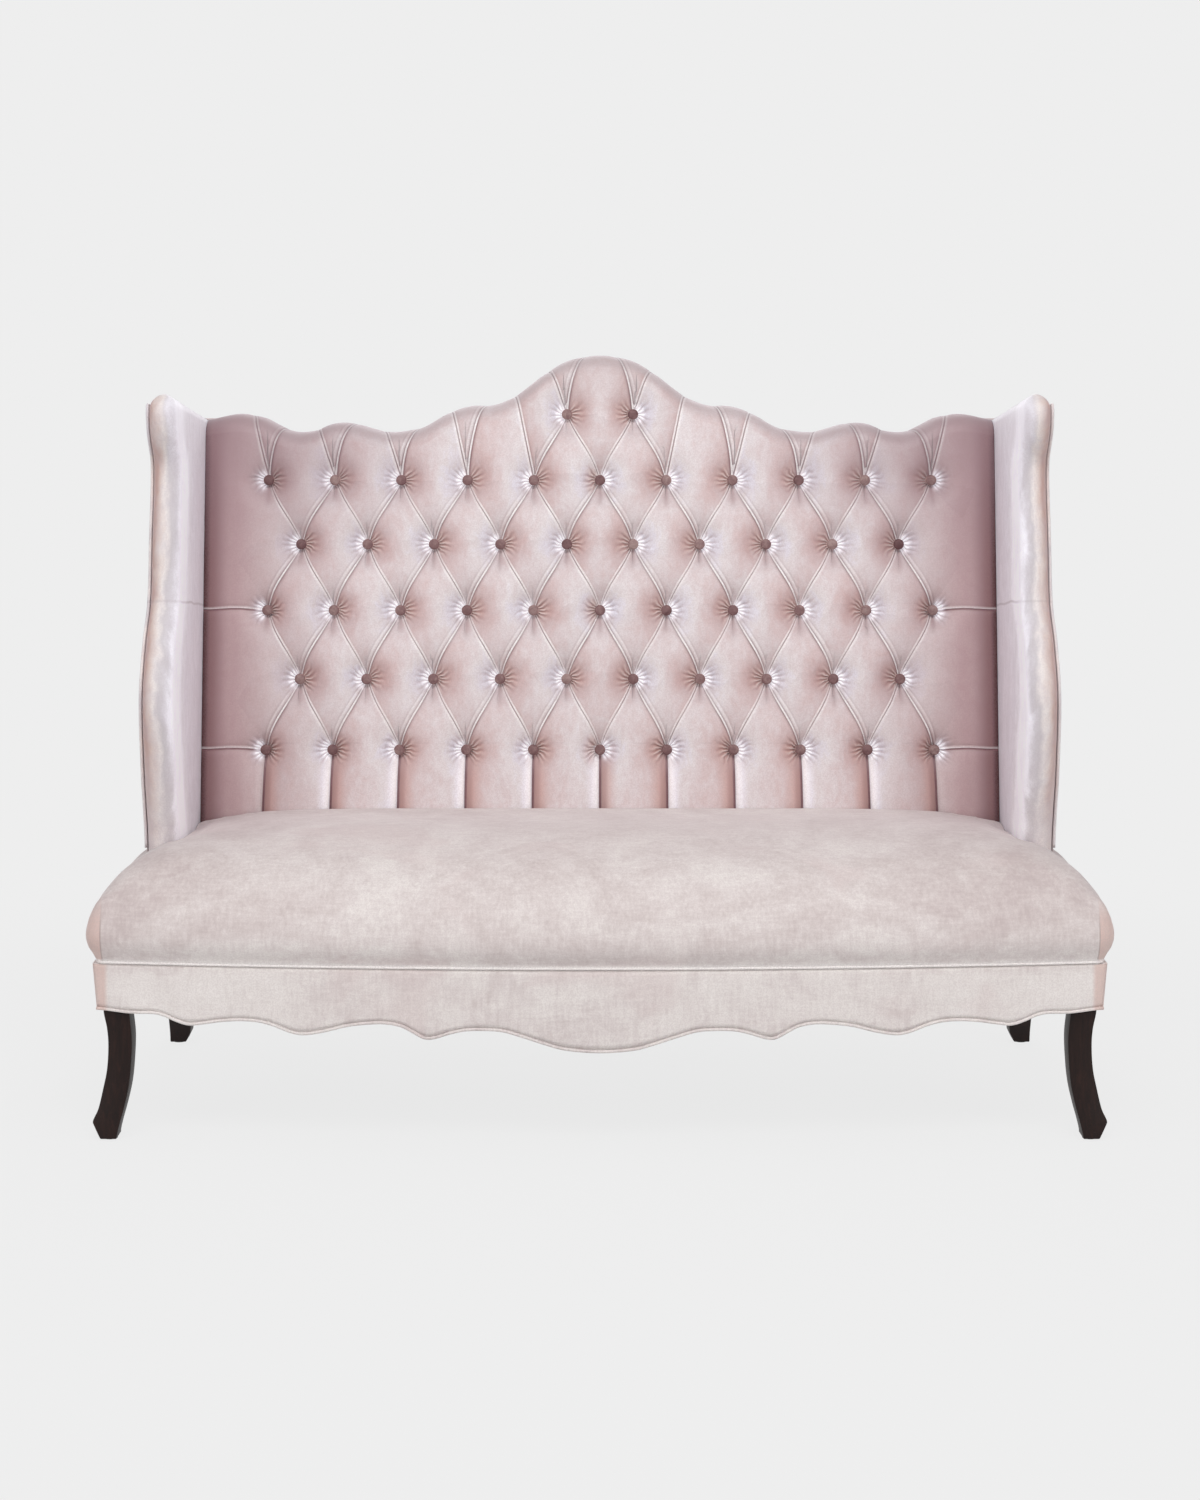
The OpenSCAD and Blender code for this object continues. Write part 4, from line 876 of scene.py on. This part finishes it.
def back_shape(i, j):
    """Places of the cover's grid points: up the face, over the crest and down behind it."""
    middle = 20 * HALF_STEPS
    columns = np.concatenate([np.linspace(-PAD_HALF, -TUFT_HALF, SIDE_STEPS + 1)[:-1],
                              np.linspace(-TUFT_HALF, TUFT_HALF, middle + 1),
                              np.linspace(TUFT_HALF, PAD_HALF, SIDE_STEPS + 1)[1:]])
    x = columns[i.astype(int)]
    face_rows = np.concatenate([np.linspace(PAD_LOW, ROWS[0], FOOT_STEPS + 1)] + [
        np.linspace(a, b, BAND_STEPS + 1)[1:] for a, b in zip(ROWS[:4], ROWS[1:5])])
    count = len(face_rows) - 1
    crest = crest_s(x)
    top = crest - CREST_ROLL
    s = face_rows[np.minimum(j, count).astype(int)]
    climb = np.clip((j - count) / TOP_STEPS, 0, 1)
    s = s + (top - s) * climb * (j > count)
    turn = np.clip((j - count - TOP_STEPS) / ROLL_STEPS, 0, 1) * math.pi / 2
    flat = np.clip((j - count - TOP_STEPS - ROLL_STEPS) / FLAT_STEPS, 0, 1)
    fall = np.clip((j - count - TOP_STEPS - ROLL_STEPS - FLAT_STEPS) / DROP_STEPS, 0, 1)
    left, facts = tuft(x, s + turn / (math.pi / 2) * ROLL_RUN)
    tuft_facts.update(facts)
    side = np.maximum(0, (np.abs(x) - TUFT_HALF) / TUFT_SIDE)
    dip = TUFT_DEEP * (1 - left * (1 - 0.7 * side**2.2))
    n = thick(s) - dip
    rolling = j > count + TOP_STEPS
    face = np.maximum(thick(crest) - dip, FRAME_FRONT + ROLL_LEAST)
    # The cosine ends a hair below 0, which has no power of 0.9
    round_off = np.maximum(np.cos(turn), 0) ** 0.9
    n = np.where(rolling, FRAME_FRONT + (face - FRAME_FRONT) * round_off, n)
    s = np.where(rolling, crest - CREST_ROLL * (1 - np.sin(turn)) - 0.3 * dip * np.sin(turn), s)
    n = n + (FRAME_BACK - FRAME_FRONT) * flat
    s = s - (BEHIND_FLAT - 0.25 * dip) * flat * (flat > 0) - BEHIND_DROP * fall
    done = count + TOP_STEPS + ROLL_STEPS + FLAT_STEPS + DROP_STEPS
    hem = np.clip((j - done) / HEM_STEPS, 0, 1)
    down = np.clip((j - done - HEM_STEPS) / REAR_STEPS, 0, 1)
    n = n + (PAD_REAR - FRAME_BACK) * hem
    s = s + (PAD_LOW - s) * down
    return lean(x, n, s)


columns = 20 * HALF_STEPS + 2 * SIDE_STEPS
rows = (FOOT_STEPS + 4 * BAND_STEPS + TOP_STEPS + ROLL_STEPS + FLAT_STEPS + DROP_STEPS
        + HEM_STEPS + REAR_STEPS)
back = sheet_grid("tufted_back", columns, rows, back_shape)
for name, values in tuft_facts.items():
    note(back.data, name, values)
bm = bmesh.new()
bm.from_mesh(back.data)
foot = [e for e in bm.edges if e.is_boundary and abs(e.verts[0].co.x - e.verts[1].co.x) > 0.0001]
bmesh.ops.bridge_loops(bm, edges=foot)
for end in (-1, 1):
    bmesh.ops.contextual_create(bm, geom=[e for e in bm.edges if e.is_boundary
                                          and e.verts[0].co.x * end > 0])
bmesh.ops.recalc_face_normals(bm, faces=bm.faces)
bm.to_mesh(back.data)
bm.free()

tufted_velvet, pen, feed = finish_of(
    "tufted_velvet", Sheen_Weight=0.3, Sheen_Roughness=0.35, Sheen_Tint=paint(240, 232, 246),
    Specular_IOR_Level=0.35, Emission_Strength=0.42)
place = pen.node("TexCoord", "Object")
normal = pen.node("TexCoord", "Normal")
across = place.axis("X")
aside, up = across.size(), place.axis("Z")
# 1 on the left half and -1 on the right, so that slopes facing the middle take painted light and
# slopes facing away painted shade
half = pen.math("MAXIMUM", pen.math("MINIMUM", across * -40.0, 1.0), -1.0)
patches = place.noise(5, (1, 1, 1), detail=6, rough=0.6, twist=1.0)
blotches = place.noise(26, (1, 1, 0.8), detail=5, rough=0.7, twist=1.2)
strokes = place.noise(80, (1, 1, 0.4), detail=4, rough=0.7)
pile = place.noise(380, detail=2)
# Painted light and shade by facing: slopes turned to the middle lighter and lavender, slopes turned
# away darker and peach, weaker on faces turned up and gone on the side strips; noise mottles it
level = (normal.axis("Z").rise(0.35, 0.8) * -0.8 + 1.0) * (1.0 - aside.rise(0.66, 0.7))
shade_and_mottle = normal.axis("X") * half * level * 0.4 + 0.5 + (patches - 0.5) * 0.16 \
    + (blotches - 0.5) * 0.42 + (strokes - 0.5) * 0.3
tone = pen.node("ValToRGB", stops=[
    (0.0, paint(194, 154, 148)), (0.25, paint(205, 177, 174)), (0.42, paint(213, 194, 193)),
    (0.52, paint(219, 206, 206)), (0.62, paint(225, 216, 216)), (0.76, paint(229, 223, 230)),
    (0.95, paint(240, 238, 248))], sockets={0: shade_and_mottle})

# Painted shade towards the sides and on the two plain strips beside the wings: mauve, and maroon in
# the crevice
strip_shade = (aside + (patches - 0.5) * 0.03).rise(0.675, 0.75) * 0.85
tone = ((aside + (blotches - 0.5) * 0.1).rise(0.52, 0.7) * 0.4).blend(tone, paint(186, 158, 158))
tone = strip_shade.blend(tone, (blotches * 0.5 + strokes * 0.3).blend(paint(176, 144, 146),
                                                                paint(196, 168, 168)))
tone = (aside.rise(0.755, 0.803) * 0.8).blend(tone, paint(130, 90, 92))
tone = (aside.rise(0.798, 0.813) * 0.85).blend(tone, paint(72, 34, 38))

# Painted shadows and highlights of the tucks, from the outer side of each over its fold to the inner
# side
phase = pen.node("Attribute", "Vector", attribute_name="tuck_phase")
kind = pen.node("Attribute", "Fac", attribute_name="tuck_kind")
inward = pen.math("ARCTAN2", phase.axis("Y"), phase.axis("X")) * (TUCK_REACH / math.pi)
mark = phase.axis("Z")
is_pair = kind.rise(0.4, 0.6) * (1.0 - kind.rise(1.4, 1.6))
is_seam = kind.rise(1.4, 1.6) * (1.0 - kind.rise(2.4, 2.6))
is_crease = kind.rise(2.4, 2.6)
drop_shade_mask = pen.node("Attribute", "Fac", attribute_name="drop_shade")
folds = []
for spread, stops in (
        (30, [(0.0, 0.46), (0.12, 0.36), (0.22, 0.64), (0.3, 0.52), (0.38, 0.34), (0.42, 0.16),
              (0.465, 1.0), (0.54, 1.0), (0.585, 0.14), (0.63, 0.22), (0.7, 0.42), (0.8, 0.5)]),
        (20, [(0.0, 0.5), (0.14, 0.5), (0.24, 0.6), (0.37, 0.85), (0.43, 0.75),
              (0.48, 0.24), (0.54, 0.28), (0.6, 0.95), (0.7, 0.75), (0.8, 0.36), (0.9, 0.46)]),
        (36, [(0.0, 0.5), (0.1, 0.66), (0.34, 0.9), (0.43, 0.7), (0.475, 0.0), (0.54, 0.0),
              (0.6, 0.32), (0.8, 0.36), (1.0, 0.5)]),
        (24, [(0.0, 0.5), (0.28, 0.5), (0.36, 0.3), (0.42, 0.0), (0.49, 0.06), (0.55, 0.8),
              (0.62, 0.72), (0.76, 0.5)])):
    folds.append(pen.node("ValToRGB", stops=stops, sockets={0: inward / spread + 0.5}))
fold = is_pair.blend(folds[0], folds[1])
fold = is_seam.blend(fold, folds[2])
fold = pen.node("RGBToBW", sockets={0: is_crease.blend(fold, folds[3])})
swing = (fold - 0.5) * mark
fold_shadow = pen.math("MAXIMUM", swing * (strokes * -1.2 - 1.4), 0.0)
fold_highlight = pen.math("MAXIMUM", swing * (strokes * 1.4 + 1.6), 0.0) \
    * (1.0 - is_seam * aside.rise(0.62, 0.66) * 0.85)

# Beside each channel's seam: painted light in a lavender band outside, painted shade in peach inside
seam_shade_side = is_seam * mark * inward.rise(1.0, 4.0) * (1.0 - inward.rise(8.0, 42.0)) * 0.8
seam_highlight = is_seam * mark * (inward * -1.0).rise(1.5, 4.0) \
    * (1.0 - (inward * -1.0).rise(6.0, 32.0)) * (1.0 - aside.rise(0.56, 0.64))
tone = (seam_highlight * 0.8).blend(seam_shade_side.blend(tone, paint(198, 157, 148)), paint(245, 240, 249))

# Round each button, painted light and shade: a lavender highlight and a glowing white crescent on
# its outer side, peach shade on its inner side, and fine puckers painted as dark and light streaks
to_button = pen.node("Attribute", "Vector", attribute_name="button_way")
outer, reach = to_button.axis("X"), to_button.axis("Z") * 1000.0
angle = pen.math("ARCTAN2", to_button.axis("Y"), outer)
wobble = place.noise(24, detail=2)
rays = pen.math("SINE", angle * 17.0 + wobble * 14.0) * (1.0 - reach.rise(16.0, 46.0)) \
    * reach.rise(9.0, 13.0) * (outer.size().rise(0.2, 0.75) * 0.85 + 0.15)
gleam = outer.rise(-0.05, 0.75) * (1.0 - reach.rise(13.0, 42.0))
crescent = outer.rise(0.0, 0.7) * (1.0 - reach.rise(14.0, 29.0)) * (rays * 0.45 + 0.9)
button_shade = (outer * -1.0).rise(-0.1, 0.8) * (1.0 - reach.rise(10.0, 48.0))
tone = (button_shade * 0.7).blend(tone, paint(204, 160, 147))
tone = (gleam * 0.6).blend(tone, paint(238, 234, 246))
tone = crescent.blend(tone, (1.0, 1.0, 1.0))
tone = (pen.math("MAXIMUM", rays * -1.0, 0.0) * (0.6 - gleam * 0.3)).blend(
    tone, paint(146, 106, 104))
tone = (pen.math("MAXIMUM", rays, 0.0) * button_shade * 0.8).blend(tone, paint(246, 232, 228))
# Painted shade in a wedge under each button and in each channel seam's groove, then the tucks'
# painted shadows and highlights
tone = (drop_shade_mask * 0.75).blend(tone, paint(158, 128, 128))
tone = (is_seam * mark * (1.0 - inward.size().rise(0.8, 2.6)) * 0.85).blend(
    tone, paint(76, 44, 48))
tone = fold_shadow.blend(tone, paint(122, 84, 88))
tone = fold_highlight.blend(tone, paint(253, 247, 246))
# Painted shade on faces turned up over the crest's roll, towards the upper corners and along the top
tone = (normal.axis("Z").rise(0.1, 0.9) * 0.4).blend(tone, paint(172, 154, 156))
tone = (up.rise(0.95, 1.3) * aside.rise(0.2, 0.72) * 0.55).blend(tone, paint(150, 124, 130))
tone = (up.rise(1.3, 1.43) * 0.35).blend(tone, paint(180, 164, 164))
feed("Base Color", (pile.rise(0.35, 0.65) * 0.2).blend(tone, paint(160, 134, 134)))
# The white crescents and the lavender bands beside the seams glow a little: painted highlight
feed("Emission Color", pen.math("MAXIMUM", crescent, seam_highlight * 0.15).blend(
    (0.0, 0.0, 0.0), (0.92, 0.9, 1.0)))
feed("Roughness", 0.46 + strokes * 0.2)
fine = pen.node("Bump", sockets={
    "Strength": 0.2, "Distance": 0.001, "Height": strokes * 0.5 + pile * 0.2})
feed("Normal", pen.node("Bump", sockets={
    "Strength": 1.0, "Distance": 0.002, "Height": swing + rays * 0.5,
    "Normal": fine}))
finish(back, tufted_velvet, "velvet_back", "back_pad")

# Buttons: domed metal shells covered in a darker velvet, pulled into the padding by their
# twine, one at every corner of the diamonds.

BUTTON_R, BUTTON_RIM, BUTTON_DOME, BUTTON_LIFT = 11, 4, 4, 9
BUTTON_STEPS = 20

button_velvet, pen, feed = finish_of("button_velvet", Sheen_Weight=0.4, Sheen_Roughness=0.4,
                                     Specular_IOR_Level=0.3, Sheen_Tint=paint(220, 190, 190))
place = pen.node("TexCoord", "Object")
nap = place.noise(120, detail=4, twist=0.6)
pile = place.noise(900, detail=2)
batch = place.noise(9, detail=1)
feed("Base Color", pen.node("ValToRGB", stops=[
    (0.25, paint(92, 62, 64)), (0.5, paint(122, 92, 92)), (0.75, paint(158, 134, 130))],
    sockets={0: nap * 0.6 + pile * 0.2 + batch * 0.9 - 0.35}))
feed("Roughness", 0.5 + nap * 0.2)
feed("Normal", pen.node("Bump", sockets={"Strength": 0.3, "Distance": 0.0006, "Height": nap}))

profile = [(0.0, 0.5), (BUTTON_R * 0.82, 0.0), (BUTTON_R * 0.98, BUTTON_RIM * 0.35),
           (BUTTON_R, BUTTON_RIM * 0.8), (BUTTON_R * 0.94, BUTTON_RIM * 1.25),
           (BUTTON_R * 0.78, BUTTON_RIM + BUTTON_DOME * 0.5),
           (BUTTON_R * 0.5, BUTTON_RIM + BUTTON_DOME * 0.84), (0.0, BUTTON_RIM + BUTTON_DOME)]
all_buttons = bmesh.new()
random.seed(3)
for _, x, s in buttons():
    verts = [all_buttons.verts.new((r * MM, 0, z * MM)) for r, z in profile]
    edges = [all_buttons.edges.new(pair) for pair in zip(verts, verts[1:])]
    bmesh.ops.spin(all_buttons, geom=verts + edges, cent=(0, 0, 0), axis=(0, 0, 1),
                   angle=2 * math.pi, steps=BUTTON_STEPS, use_merge=True)
    fresh = [v for v in all_buttons.verts if v.tag is False]
    cx, cy, cz = lean(x, thick(s) - TUFT_DEEP + BUTTON_LIFT, s)
    wave, phase = random.uniform(0.1, 0.35), random.uniform(0, 6)
    for v in fresh:
        v.tag = True
        across, up, out = v.co.x, v.co.y, v.co.z
        turn = math.atan2(up, across)
        out += wave * MM * math.sin(5 * turn + phase) * math.hypot(across, up) / (BUTTON_R * MM)
        v.co = Vector((cx * MM + across,
                       cy * MM - out * math.cos(BACK_LEAN) + up * math.sin(BACK_LEAN),
                       cz * MM + out * math.sin(BACK_LEAN) + up * math.cos(BACK_LEAN)))
bmesh.ops.remove_doubles(all_buttons, verts=all_buttons.verts, dist=0.00002)
bmesh.ops.recalc_face_normals(all_buttons, faces=all_buttons.faces)
piece("covered_buttons", all_buttons, button_velvet, "button_velvet", "tuft_buttons")

# Wings: boards padded on their inner face and round front edge, domed at the tip, and covered
# in one satin-napped velvet, with painted light and shade in upright bands round the front.

WING_R = WING_T / 2
# Share of the wings' height where their tops start to fall to the rear
FALL_SHARE = 0.8
WING_DEPTH_STEPS, WING_ROUND_STEPS, WING_ROWS = 16, 25, 70
DOME_TURNS = np.radians([10, 20, 30, 40, 50, 60, 70, 78, 84])


def wing_ring(h, turn, side):
    """Outline of a wing at the height share h, thinned by the turn of its dome."""
    z = WING_LOW + h * WING_H
    half = WING_R + flare_at(z) / 2
    r = half * math.cos(turn)
    front = float(wing_front(h)) + WING_R * (1 - math.cos(turn)) * 1.4
    mid = front + r
    ramp = max(0.0, h - FALL_SHARE) / (1 - FALL_SHARE)
    rear = BACK_Y + (z - WING_FALL * ramp - FRAME_Z) * math.tan(BACK_LEAN) \
        - FRAME_BACK / math.cos(BACK_LEAN)
    near, far = WING_IN + half - r, WING_IN + half + r
    line = [(near, y) for y in np.linspace(rear, mid, WING_DEPTH_STEPS)[:-1]]
    line += [(WING_IN + half - r * math.cos(a), mid - r * math.sin(a))
             for a in np.linspace(0, math.pi, WING_ROUND_STEPS)]
    line += [(far, y) for y in np.linspace(mid, rear, WING_DEPTH_STEPS)[1:]]
    return [(side * px, y, z - WING_FALL * ramp * (y - front) / (rear - front))
            for px, y in line]


satin_velvet, pen, feed = finish_of(
    "satin_velvet", Sheen_Weight=0.7, Sheen_Roughness=0.3, Sheen_Tint=paint(250, 246, 252),
    Specular_IOR_Level=0.4, Emission_Strength=0.15)
place = pen.node("TexCoord", "Object")
patches = place.noise(7, (1, 1, 0.5), detail=6, rough=0.6, twist=1.2)
blotches = place.noise(30, (1, 1, 0.6), detail=5, rough=0.7, twist=1.0)
strokes = place.noise(46, (1, 1, 0.25), detail=4, rough=0.65)
pile = place.noise(380, detail=2)
# Metres over the rounded front, from the outer face to the inner face
over = pen.node("Attribute", "Fac", attribute_name="front_way") * 2.5 + 0.25 \
    + (patches - 0.5) * 0.13 + (strokes - 0.5) * 0.05
# Painted light and shade in bands across the round: peach shade on the outer side, cream at the
# foremost line, then a grey band, a white highlight and pale lavender on the inner face
tone = pen.node("ValToRGB", stops=[
    (0.08, paint(210, 184, 174)), (0.19, paint(188, 152, 142)), (0.215, paint(210, 188, 179)),
    (0.25, paint(229, 220, 216)), (0.275, paint(199, 192, 194)), (0.295, paint(210, 204, 208)),
    (0.325, paint(240, 236, 242)),
    (0.37, paint(252, 251, 255)), (0.54, paint(252, 251, 255)), (0.72, paint(242, 238, 246)),
    (0.95, paint(238, 232, 240))], sockets={0: over})
# Higher up, the painted bands inward of the cream one give way to painted light
tone = (place.axis("Z").rise(1.2, 1.28) * over.rise(0.25, 0.29) * 0.8).blend(
    tone, paint(240, 236, 242))
# Painted light: lighter towards the seat
foot = 1.0 - place.axis("Z").rise(0.4, 0.75)
tone = (foot * (1.0 - over.rise(0.5, 0.75)) * 0.6).blend(tone, paint(252, 246, 246))
# A painted highlight over the inner side of the front, that glows a little and more towards the seat
gleam = over.rise(0.295, 0.36) * (1.0 - over.rise(0.46, 0.64)) * (blotches + 0.9) \
    * (foot * 0.6 + 1.0)
# Painted shade of the crease that crosses each wing at the height of the third row of buttons
CREASE_Z, CREASE_RAKE = 0.956, 0.11
off = ((place.axis("Z") + place.axis("Y") * CREASE_RAKE - CREASE_Z + (patches - 0.5) * 0.012)
       * 1000.0).size()
tone = ((1.0 - off.rise(0.5, 4.0)) * (over.rise(0.3, 0.5) * 0.35 + 0.2)).blend(
    tone, paint(150, 130, 134))
tone = (blotches.rise(0.35, 0.65) * 0.28).blend(tone, paint(192, 180, 188))
feed("Base Color", (pile.rise(0.35, 0.65) * 0.2).blend(tone, paint(176, 162, 168)))
feed("Emission Color", gleam.blend((0.0, 0.0, 0.0), (0.9, 0.92, 1.0)))
feed("Roughness", 0.4 + strokes * 0.2)
feed("Normal", pen.node("Bump", sockets={
    "Strength": 0.25, "Distance": 0.001, "Height": strokes * 0.6 + pile * 0.2}))


def wing(side, word):
    rings = [wing_ring(h, 0, side) for h in np.linspace(0, 1 - WING_R / WING_H, WING_ROWS)]
    for turn in DOME_TURNS:
        rings.append(wing_ring(1 - (1 - math.sin(turn)) * WING_R / WING_H, turn, side))
    made = piece("padded_wing_" + word, loft(rings), satin_velvet, "velvet_wing",
                 "wing_pad_" + word)
    way = []
    for ring in rings:
        steps = np.linalg.norm(np.diff(np.array(ring), axis=0), axis=1)
        along = np.append(0, np.cumsum(steps))
        foremost = int(np.argmin([y for _, y, _ in ring]))
        way.extend((along[foremost] - along) * MM)
    note(made.data, "front_way", way)
    return made


both_sides(wing)

# Outside back and outside wings: flat velvet panels pulled tight over the frame and blind
# stapled, with piping along the crest and round the wings' outer edges.

PANEL_HALF = WING_IN + WING_T
PANEL_T = 4
CLOTH_T = 0.0012
# How far the cloth stands over its panel at the edges, and how it puffs out within them
EDGE_OUT, BACK_PUFF, BACK_PUFF_RUN, WING_PUFF, WING_PUFF_RUN = 1.2, 1.4, 30, 2, 25
# How far the cloth's top edge and the piping stay under the crest line, and how far the wings'
# piping keeps from the flat of the wing
CREST_TUCK, PIPING_TUCK, PIPING_CLEAR = 7.8, 1.2, 0.9
OUTSIDE_COLUMNS, OUTSIDE_ROWS, PANEL_COLUMNS, PANEL_ROWS = 300, 170, 40, 90

plain_velvet, pen, feed = finish_of(
    "plain_velvet", Sheen_Weight=0.3, Sheen_Roughness=0.4, Sheen_Tint=paint(244, 238, 244),
    Specular_IOR_Level=0.3)
place = pen.node("TexCoord", "Object")
patches = place.noise(3.5, (1, 1, 1), detail=6, rough=0.6, twist=1.2)
strokes = place.noise(18, (1, 1, 0.3), detail=5, rough=0.65)
pile = place.noise(900, detail=2)
feed("Base Color", (pile * 0.2).blend(pen.node("ValToRGB", stops=[
    (0.3, paint(206, 187, 186)), (0.5, paint(213, 197, 196)), (0.7, paint(220, 208, 208))],
    sockets={0: patches * 0.5 + strokes * 0.5}), paint(166, 140, 142)))
feed("Roughness", 0.5 + strokes * 0.2)
feed("Normal", pen.node("Bump", sockets={
    "Strength": 0.25, "Distance": 0.001, "Height": strokes * 0.7 + pile * 0.2}))


def outside_shape(i, j):
    x = (i / OUTSIDE_COLUMNS * 2 - 1) * (PANEL_HALF - ROOM)
    top = crest_s(x) - CREST_TUCK
    s = top * j / OUTSIDE_ROWS
    rim = np.minimum(np.minimum(PANEL_HALF - np.abs(x), top - s), s)
    x = x * (1 + flare_at(FRAME_Z) / PANEL_HALF * (1 - j / OUTSIDE_ROWS))
    puff = BACK_PUFF * (1 - np.exp(-rim / BACK_PUFF_RUN)) \
        + 0.4 * np.sin(x / 130) * np.sin(s / 170)
    return lean(x, PANEL_T - EDGE_OUT - puff, s)


outside = stretch_over("outside_back_velvet", OUTSIDE_COLUMNS, OUTSIDE_ROWS, outside_shape,
                       CLOTH_T, 0, plain_velvet, "velvet_back", "outside_back")

line = [(float(x), float(crest_s(x)) - WELT_R - PIPING_TUCK)
        for x in [-PANEL_HALF + WELT_R, *np.linspace(-WING_IN, WING_IN, 321), PANEL_HALF - WELT_R]]
piping("crest_piping", [lean(x, PANEL_T - WELT_R - ROOM, s) for x, s in line], plain_velvet,
       "velvet_back", "back_welt")


def wing_panel(side, word):
    inset, x = WING_R - ROOM, PANEL_HALF + ROOM
    low, top = (SEAT_LOW + ROOM - WING_LOW) / WING_H, 1 - inset / WING_H

    def shape(i, j):
        h = low + (top - low) * j / PANEL_ROWS
        z = WING_LOW + h * WING_H
        front = wing_front(h) + inset
        rear = BACK_Y + (z - FRAME_Z) * math.tan(BACK_LEAN)
        ramp = np.maximum(0, h - FALL_SHARE) / (1 - FALL_SHARE)
        y = front + (rear - front) * i / PANEL_COLUMNS
        fall = WING_FALL * ramp * i / PANEL_COLUMNS
        rim = np.minimum(np.minimum(y - front, rear - y), (1 - j / PANEL_ROWS) * WING_H)
        out = x + flare_at(z - fall) + EDGE_OUT + WING_PUFF * (1 - np.exp(-rim / WING_PUFF_RUN))
        return side * out, y - fall * 0.1, z - fall

    made = stretch_over("wing_velvet_" + word, PANEL_COLUMNS, PANEL_ROWS, shape, CLOTH_T, 0,
                        plain_velvet, "velvet_wing", "wing_panel_" + word)
    "padded_wing_" + word
    return made


def wing_piping(side, word):
    inset = WING_R - WELT_R - PIPING_CLEAR
    path = [(float(wing_front(h)) + inset, WING_LOW + h * WING_H)
            for h in np.linspace(0.16, 1 - inset / WING_H, 90)]
    end_z = WING_TOP - WING_FALL - inset
    path.append((path[-1][0] + WELT_R, path[-1][1] + WELT_R / 3))
    path.append((BACK_Y + (end_z - FRAME_Z) * math.tan(BACK_LEAN), end_z))
    line = [(side * (PANEL_HALF + WELT_R + ROOM + flare_at(z)), y, z) for y, z in path]
    piping("wing_piping_" + word, line, satin_velvet, "velvet_wing", "wing_welt_" + word)


both_sides(wing_panel)
both_sides(wing_piping)

# Studio: a pale floor that runs out into a pale backdrop, one large soft light above the
# camera, a softer one from each side, and a camera at the photograph's height and distance.

BACKDROP = paint(238, 238, 238)

studio_floor, pen, _ = finish_of("studio_floor", Roughness=0.9)
place = pen.node("TexCoord", "Object")
far = pen.math("SQRT", place.axis("X") * place.axis("X") + place.axis("Y") * place.axis("Y"))
fade = far.rise(1.0, 2.6) * 0.07 + 0.93


def in_view(pen):
    """1 where the camera sees the surface itself or as a glossy reflection."""
    return pen.math("MAXIMUM", pen.node("LightPath", "Is Camera Ray"),
                    pen.node("LightPath", "Is Glossy Ray"))


matt = pen.node("BsdfDiffuse", sockets={"Color": BACKDROP})
glow = pen.node("Emission", sockets={"Color": BACKDROP, "Strength": 1.0})
surface = pen.node("MixShader", sockets={0: in_view(pen) * fade, 1: matt, 2: glow})
connect(pen.tree, pen.tree.nodes["Material Output"].inputs[0], surface)

bm = bmesh.new()
bmesh.ops.create_grid(bm, x_segments=2, y_segments=2, size=30)
floor = solid("floor", bm)
floor.data.materials.append(studio_floor)
floor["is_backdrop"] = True

world = bpy.data.worlds.new("studio")
bpy.context.scene.world = world
world.use_nodes = True
pen = Shade(world.node_tree)
soft = pen.node("Background", sockets={"Color": (0.95, 0.97, 1.0), "Strength": 0.42})
shown = pen.node("Background", sockets={"Color": BACKDROP, "Strength": 1.0})
connect(world.node_tree, world.node_tree.nodes["World Output"].inputs[0],
        pen.node("MixShader", sockets={0: in_view(pen), 1: soft, 2: shown}))


def soft_light(name, place, aim, size, power):
    lamp = bpy.data.lights.new(name, "AREA")
    lamp.shape, lamp.size, lamp.size_y, lamp.energy = "RECTANGLE", *size, power
    made = bpy.data.objects.new(name, lamp)
    bpy.context.scene.collection.objects.link(made)
    made.location = place
    made.rotation_euler = (Vector(aim) - Vector(place)).to_track_quat("-Z", "Y").to_euler()


soft_light("top_light", (0, -2.6, 3.9), (0, 0, 0.7), (3.2, 1.6), 95)
for word, x in (("left_light", -3.4), ("right_light", 3.4)):
    soft_light(word, (x, -3.0, 1.9), (0, 0, 0.7), (1.6, 2.2), 30)
soft_light("rear_light", (0, 3.6, 2.8), (0, 0, 0.8), (3.0, 1.6), 34)

CAMERA_AWAY, CAMERA_UP, CAMERA_TURN, LENS, SENSOR, SHIFT = 5.02, 1.391, 87.08, 61.9, 36, -0.16
scene = bpy.context.scene
scene.view_settings.view_transform = "Standard"
lens = bpy.data.cameras.new("camera")
lens.lens, lens.sensor_width, lens.shift_y = LENS, SENSOR, SHIFT
camera = bpy.data.objects.new("camera", lens)
camera.location = (0, -CAMERA_AWAY, CAMERA_UP)
camera.rotation_euler = (math.radians(CAMERA_TURN), 0, 0)
scene.collection.objects.link(camera)
scene.camera = camera

low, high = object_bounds()
